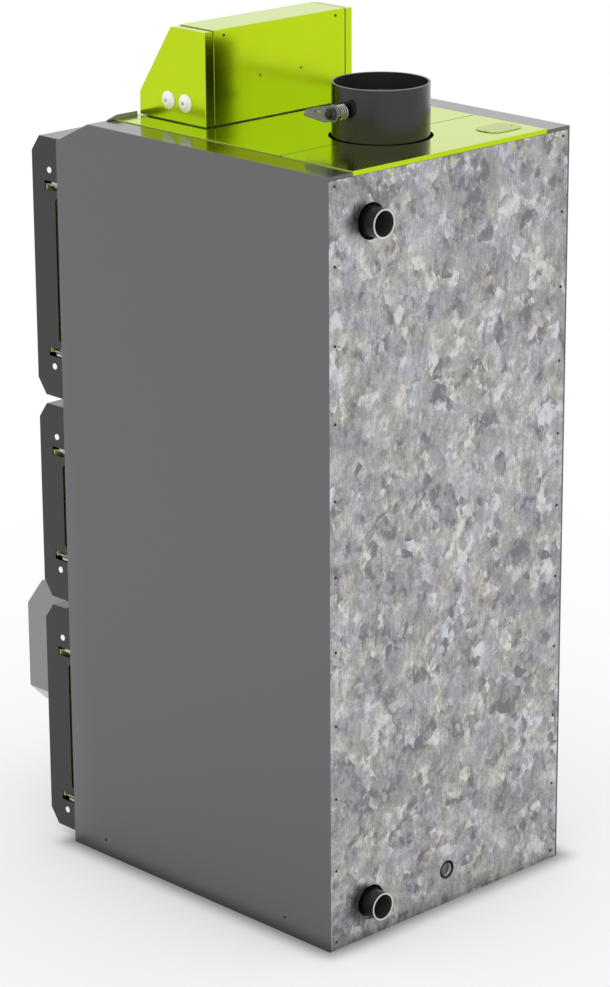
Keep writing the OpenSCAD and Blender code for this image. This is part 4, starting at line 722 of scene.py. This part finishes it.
# the panel rises by 117.5 mm while it leans back by 79.5 mm
PANEL_TILT = math.atan2(117.5, 79.5)
PANEL_MID = Vector((0, -0.19475, 1.41075))
KNOB_X, KNOB_R, KNOB_TOP = middle("control_knob", "x"), 17 * MM, 16.3 * MM
ROCKER_X, ROCKER_HALF_H = middle("main_switch", "x"), 15 * MM
INK = 0.15 * MM


def bar(bm, width, length, height, place):
    """A thin bar of printing or moulding that stands on the XY plane of that place."""
    made = bmesh.ops.create_grid(bm, x_segments=1, y_segments=1, size=0.5)["verts"]
    grown = pull(bm, list({face for vert in made for face in vert.link_faces}), (0, 0, 1))
    size = Matrix.Diagonal((width, length, height, 1))
    bmesh.ops.transform(bm, matrix=place @ size, verts=list({*made, *grown}))


def finish_on_panel(bm, x, name, body, finish):
    """Turns what was drawn flat, with Z outwards, onto the sloped panel at that x."""
    bmesh.ops.recalc_face_normals(bm, faces=bm.faces)
    place = Matrix.Translation(PANEL_MID + Vector((x, 0, 0))) @ Matrix.Rotation(PANEL_TILT, 4, "X")
    bmesh.ops.transform(bm, matrix=place, verts=bm.verts)
    finish_piece(bm, name, body, finish)


def cut_to_band(bm, faces, width):
    """Leaves only a band of that width inside the faces' outline."""
    bmesh.ops.inset_region(bm, faces=faces, thickness=width, use_even_offset=True, use_boundary=True)
    bmesh.ops.delete(bm, geom=faces, context="FACES")


def display_bezel():
    """Light grey frame around the display, 7 mm wide and 2.2 mm proud."""
    width, height, band, proud = 122 * MM, 74 * MM, 7 * MM, 2.2 * MM
    bm = bmesh.new()
    sheet = bmesh.ops.create_grid(bm, x_segments=1, y_segments=1, size=0.5)["verts"]
    bmesh.ops.transform(bm, matrix=Matrix.Diagonal((width, height, 1, 1)), verts=sheet)
    cut_to_band(bm, bm.faces[:], band)
    pull(bm, bm.faces[:], (0, 0, proud))
    round_off(bm, bm.edges[:], 0.7 * MM, 3)
    finish_on_panel(bm, 0, "display_bezel", "casing", light_lacquer)


def dial_ticks():
    """Eleven ticks around the knob, every other one longer, over 270 degrees."""
    ticks, first_angle, sweep, gap = 11, 135, 270, 3 * MM
    bm = bmesh.new()
    for i in range(ticks):
        length = 5.5 * MM if i % 2 == 0 else 3.5 * MM
        turn = Matrix.Rotation(math.radians(first_angle - sweep / (ticks - 1) * i), 4, "Z")
        bar(bm, 1 * MM, length, INK, turn @ Matrix.Translation((0, KNOB_R + gap + length / 2, 0)))
    finish_on_panel(bm, KNOB_X, "dial_ticks", "casing", mark_paint)


def knob_pointer():
    """A white line on the knob's face, 3 mm short of its rim."""
    length, height = 9 * MM, 0.3 * MM
    bm = bmesh.new()
    place = Matrix.Translation((0, KNOB_R - 3 * MM - length / 2, KNOB_TOP - 0.1 * MM))
    bar(bm, 1.6 * MM, length, height, place)
    finish_on_panel(bm, KNOB_X, "knob_pointer", "knob", mark_paint)


def rocker_marks():
    """A bar above the rocker for on and a ring below it for off."""
    off_centre = ROCKER_HALF_H + 6 * MM
    bm = bmesh.new()
    bar(bm, 1 * MM, 5 * MM, INK, Matrix.Translation((0, off_centre, 0)))
    ring = bmesh.ops.create_circle(bm, cap_ends=True, radius=2.6 * MM, segments=32)["verts"]
    bmesh.ops.translate(bm, verts=ring, vec=(0, -off_centre, 0))
    cut_to_band(bm, list({face for vert in ring for face in vert.link_faces}), 0.9 * MM)
    pull(bm, [face for face in bm.faces if face.calc_center_median().y < 0], (0, 0, INK))
    finish_on_panel(bm, ROCKER_X, "rocker_marks", "casing", mark_paint)


display_bezel()
dial_ticks()
knob_pointer()
rocker_marks()


# Joints in the lime sheets: a black strip sunk in each as painted shade in the gap

CONSOLE_TOP_Z, CONSOLE_REAR_Y = high("console_ends", "z"), high("console_ends", "y")
COVER_FRONT_Y, COVER_FOOT_Z = low("console_cover", "y"), low("console_cover", "z")
COVER_EDGE_X = high("console_cover", "x")


def painted_shadow_strips():
    """Black strips as painted shade in the lid's cross joint and along both ends of the console cover."""
    bm = bmesh.new()
    upright = Matrix.Rotation(math.radians(-90), 4, "X")
    seam_width, seam_height, seam_sink, inset = 1.6 * MM, 0.9 * MM, 0.82 * MM, 0.5 * MM
    seam_run = LID_HALF_W - FLUE_HOLE_R - 1.2 * MM
    cover_depth, cover_height = CONSOLE_REAR_Y - COVER_FRONT_Y, CONSOLE_TOP_Z - COVER_FOOT_Z
    for side in (-1, 1):
        seam_x = side * (LID_HALF_W - inset - seam_run / 2)
        in_seam = Matrix.Translation((seam_x, LID_SEAM_Y, LID_Z - seam_sink))
        bar(bm, seam_run, seam_width, seam_height, in_seam)
        # flush with the cover at its far end, sunk at the near one
        width, height = (1.1 * MM, 0.25 * MM) if side > 0 else (2.0 * MM, 1.55 * MM)
        x = side * (COVER_EDGE_X + 0.2 * MM + width / 2)
        on_top = Matrix.Translation((x, (CONSOLE_REAR_Y + COVER_FRONT_Y) / 2, CONSOLE_TOP_Z))
        behind = Matrix.Translation((x, CONSOLE_REAR_Y, (CONSOLE_TOP_Z + COVER_FOOT_Z) / 2))
        bar(bm, width, cover_depth, height, on_top)
        bar(bm, width, cover_height, height, behind @ upright)
    bmesh.ops.recalc_face_normals(bm, faces=bm.faces)
    finish_piece(bm, "painted_shadow_strips", "casing", black_plastic)


painted_shadow_strips()


# Studio: a pale floor that fades to white, under an even white sky

def make_floor():
    """A wide disc with a painted shadow, grey under the casing's edges, and plain white to the eye farther
    out.
    """
    radius, shade_reach, fade_reach = 40.0, 0.05, 2.0
    mesh = bpy.data.meshes.new("studio_floor")
    bm = bmesh.new()
    bmesh.ops.create_circle(bm, cap_ends=True, radius=radius, segments=96)
    bm.to_mesh(mesh)
    bm.free()
    floor = bpy.data.objects.new("studio_floor", mesh)
    scene.collection.objects.link(floor)
    material, tree, shader = start_finish("pale_studio_floor", "F6F6F6", 0.0, 0.9)
    # distance from the casing's footprint
    split = add(tree, "SeparateXYZ", {"Vector": surface_point(tree)})
    gaps = []
    for axis, half in CASING_HALF.items():
        plain = add(tree, "Math", {0: split.outputs[axis]}, operation="ABSOLUTE")
        past = add(tree, "Math", {0: plain.outputs["Value"], 1: half}, operation="SUBTRACT")
        gap = add(tree, "Math", {0: past.outputs["Value"], 1: 0.0}, operation="MAXIMUM")
        gaps.append(gap.outputs["Value"])
    both = add(tree, "CombineXYZ", {"X": gaps[0], "Y": gaps[1]})
    distance = add(tree, "VectorMath", {0: both.outputs["Vector"]}, operation="LENGTH").outputs["Value"]
    # painted shadow: the floor's colour darkens to grey within 50 mm of the casing's edges
    near = add(tree, "MapRange", {
        "Value": distance, "From Min": 0.0, "From Max": shade_reach}, interpolation_type="SMOOTHSTEP")
    tone = add(tree, "Mix", {
        "Factor": near.outputs["Result"], 6: rgb("B0B0B0"), 7: rgb("F8F8F8")}, data_type="RGBA")
    tree.links.new(tone.outputs[2], shader.inputs["Base Color"])
    # seen directly or mirrored, the floor fades to plain white away from the object; its shadow stays
    away = add(tree, "MapRange", {"Value": distance, "From Max": fade_reach})
    share = add(tree, "ValToRGB", {"Fac": away.outputs["Result"]})
    share.color_ramp.elements[0].color = (0, 0, 0, 1)
    share.color_ramp.elements[1].color = (1, 1, 1, 1)
    for place, level in ((0.018, 0.34), (0.05, 0.46), (0.1, 0.52), (0.3, 0.64), (0.66, 0.9)):
        share.color_ramp.elements.new(place).color = (level, level, level, 1)
    ray = add(tree, "LightPath")
    seen = ray.outputs["Is Camera Ray"]
    for kind in ("Is Glossy Ray", "Is Transmission Ray"):
        seen = add(tree, "Math", {0: seen, 1: ray.outputs[kind]}, operation="MAXIMUM").outputs["Value"]
    part = add(tree, "Math", {0: seen, 1: share.outputs["Color"]}, operation="MULTIPLY")
    white = add(tree, "Emission", {"Color": rgb("FFFFFF"), "Strength": 1.0})
    mixed = add(tree, "MixShader", {
        "Fac": part.outputs["Value"], 1: shader.outputs["BSDF"], 2: white.outputs["Emission"]})
    tree.links.new(mixed.outputs["Shader"], tree.nodes["Material Output"].inputs["Surface"])
    mesh.materials.append(material)


def light_studio():
    """An even white world, and colours shown as they are written."""
    world = bpy.data.worlds.new("studio_sky")
    world.use_nodes = True
    world.node_tree.nodes["Background"].inputs["Color"].default_value = rgb("FFFFFF")
    world.node_tree.nodes["Background"].inputs["Strength"].default_value = 1.0
    scene.world = world
    scene.view_settings.view_transform = "Standard"


make_floor()
light_studio()
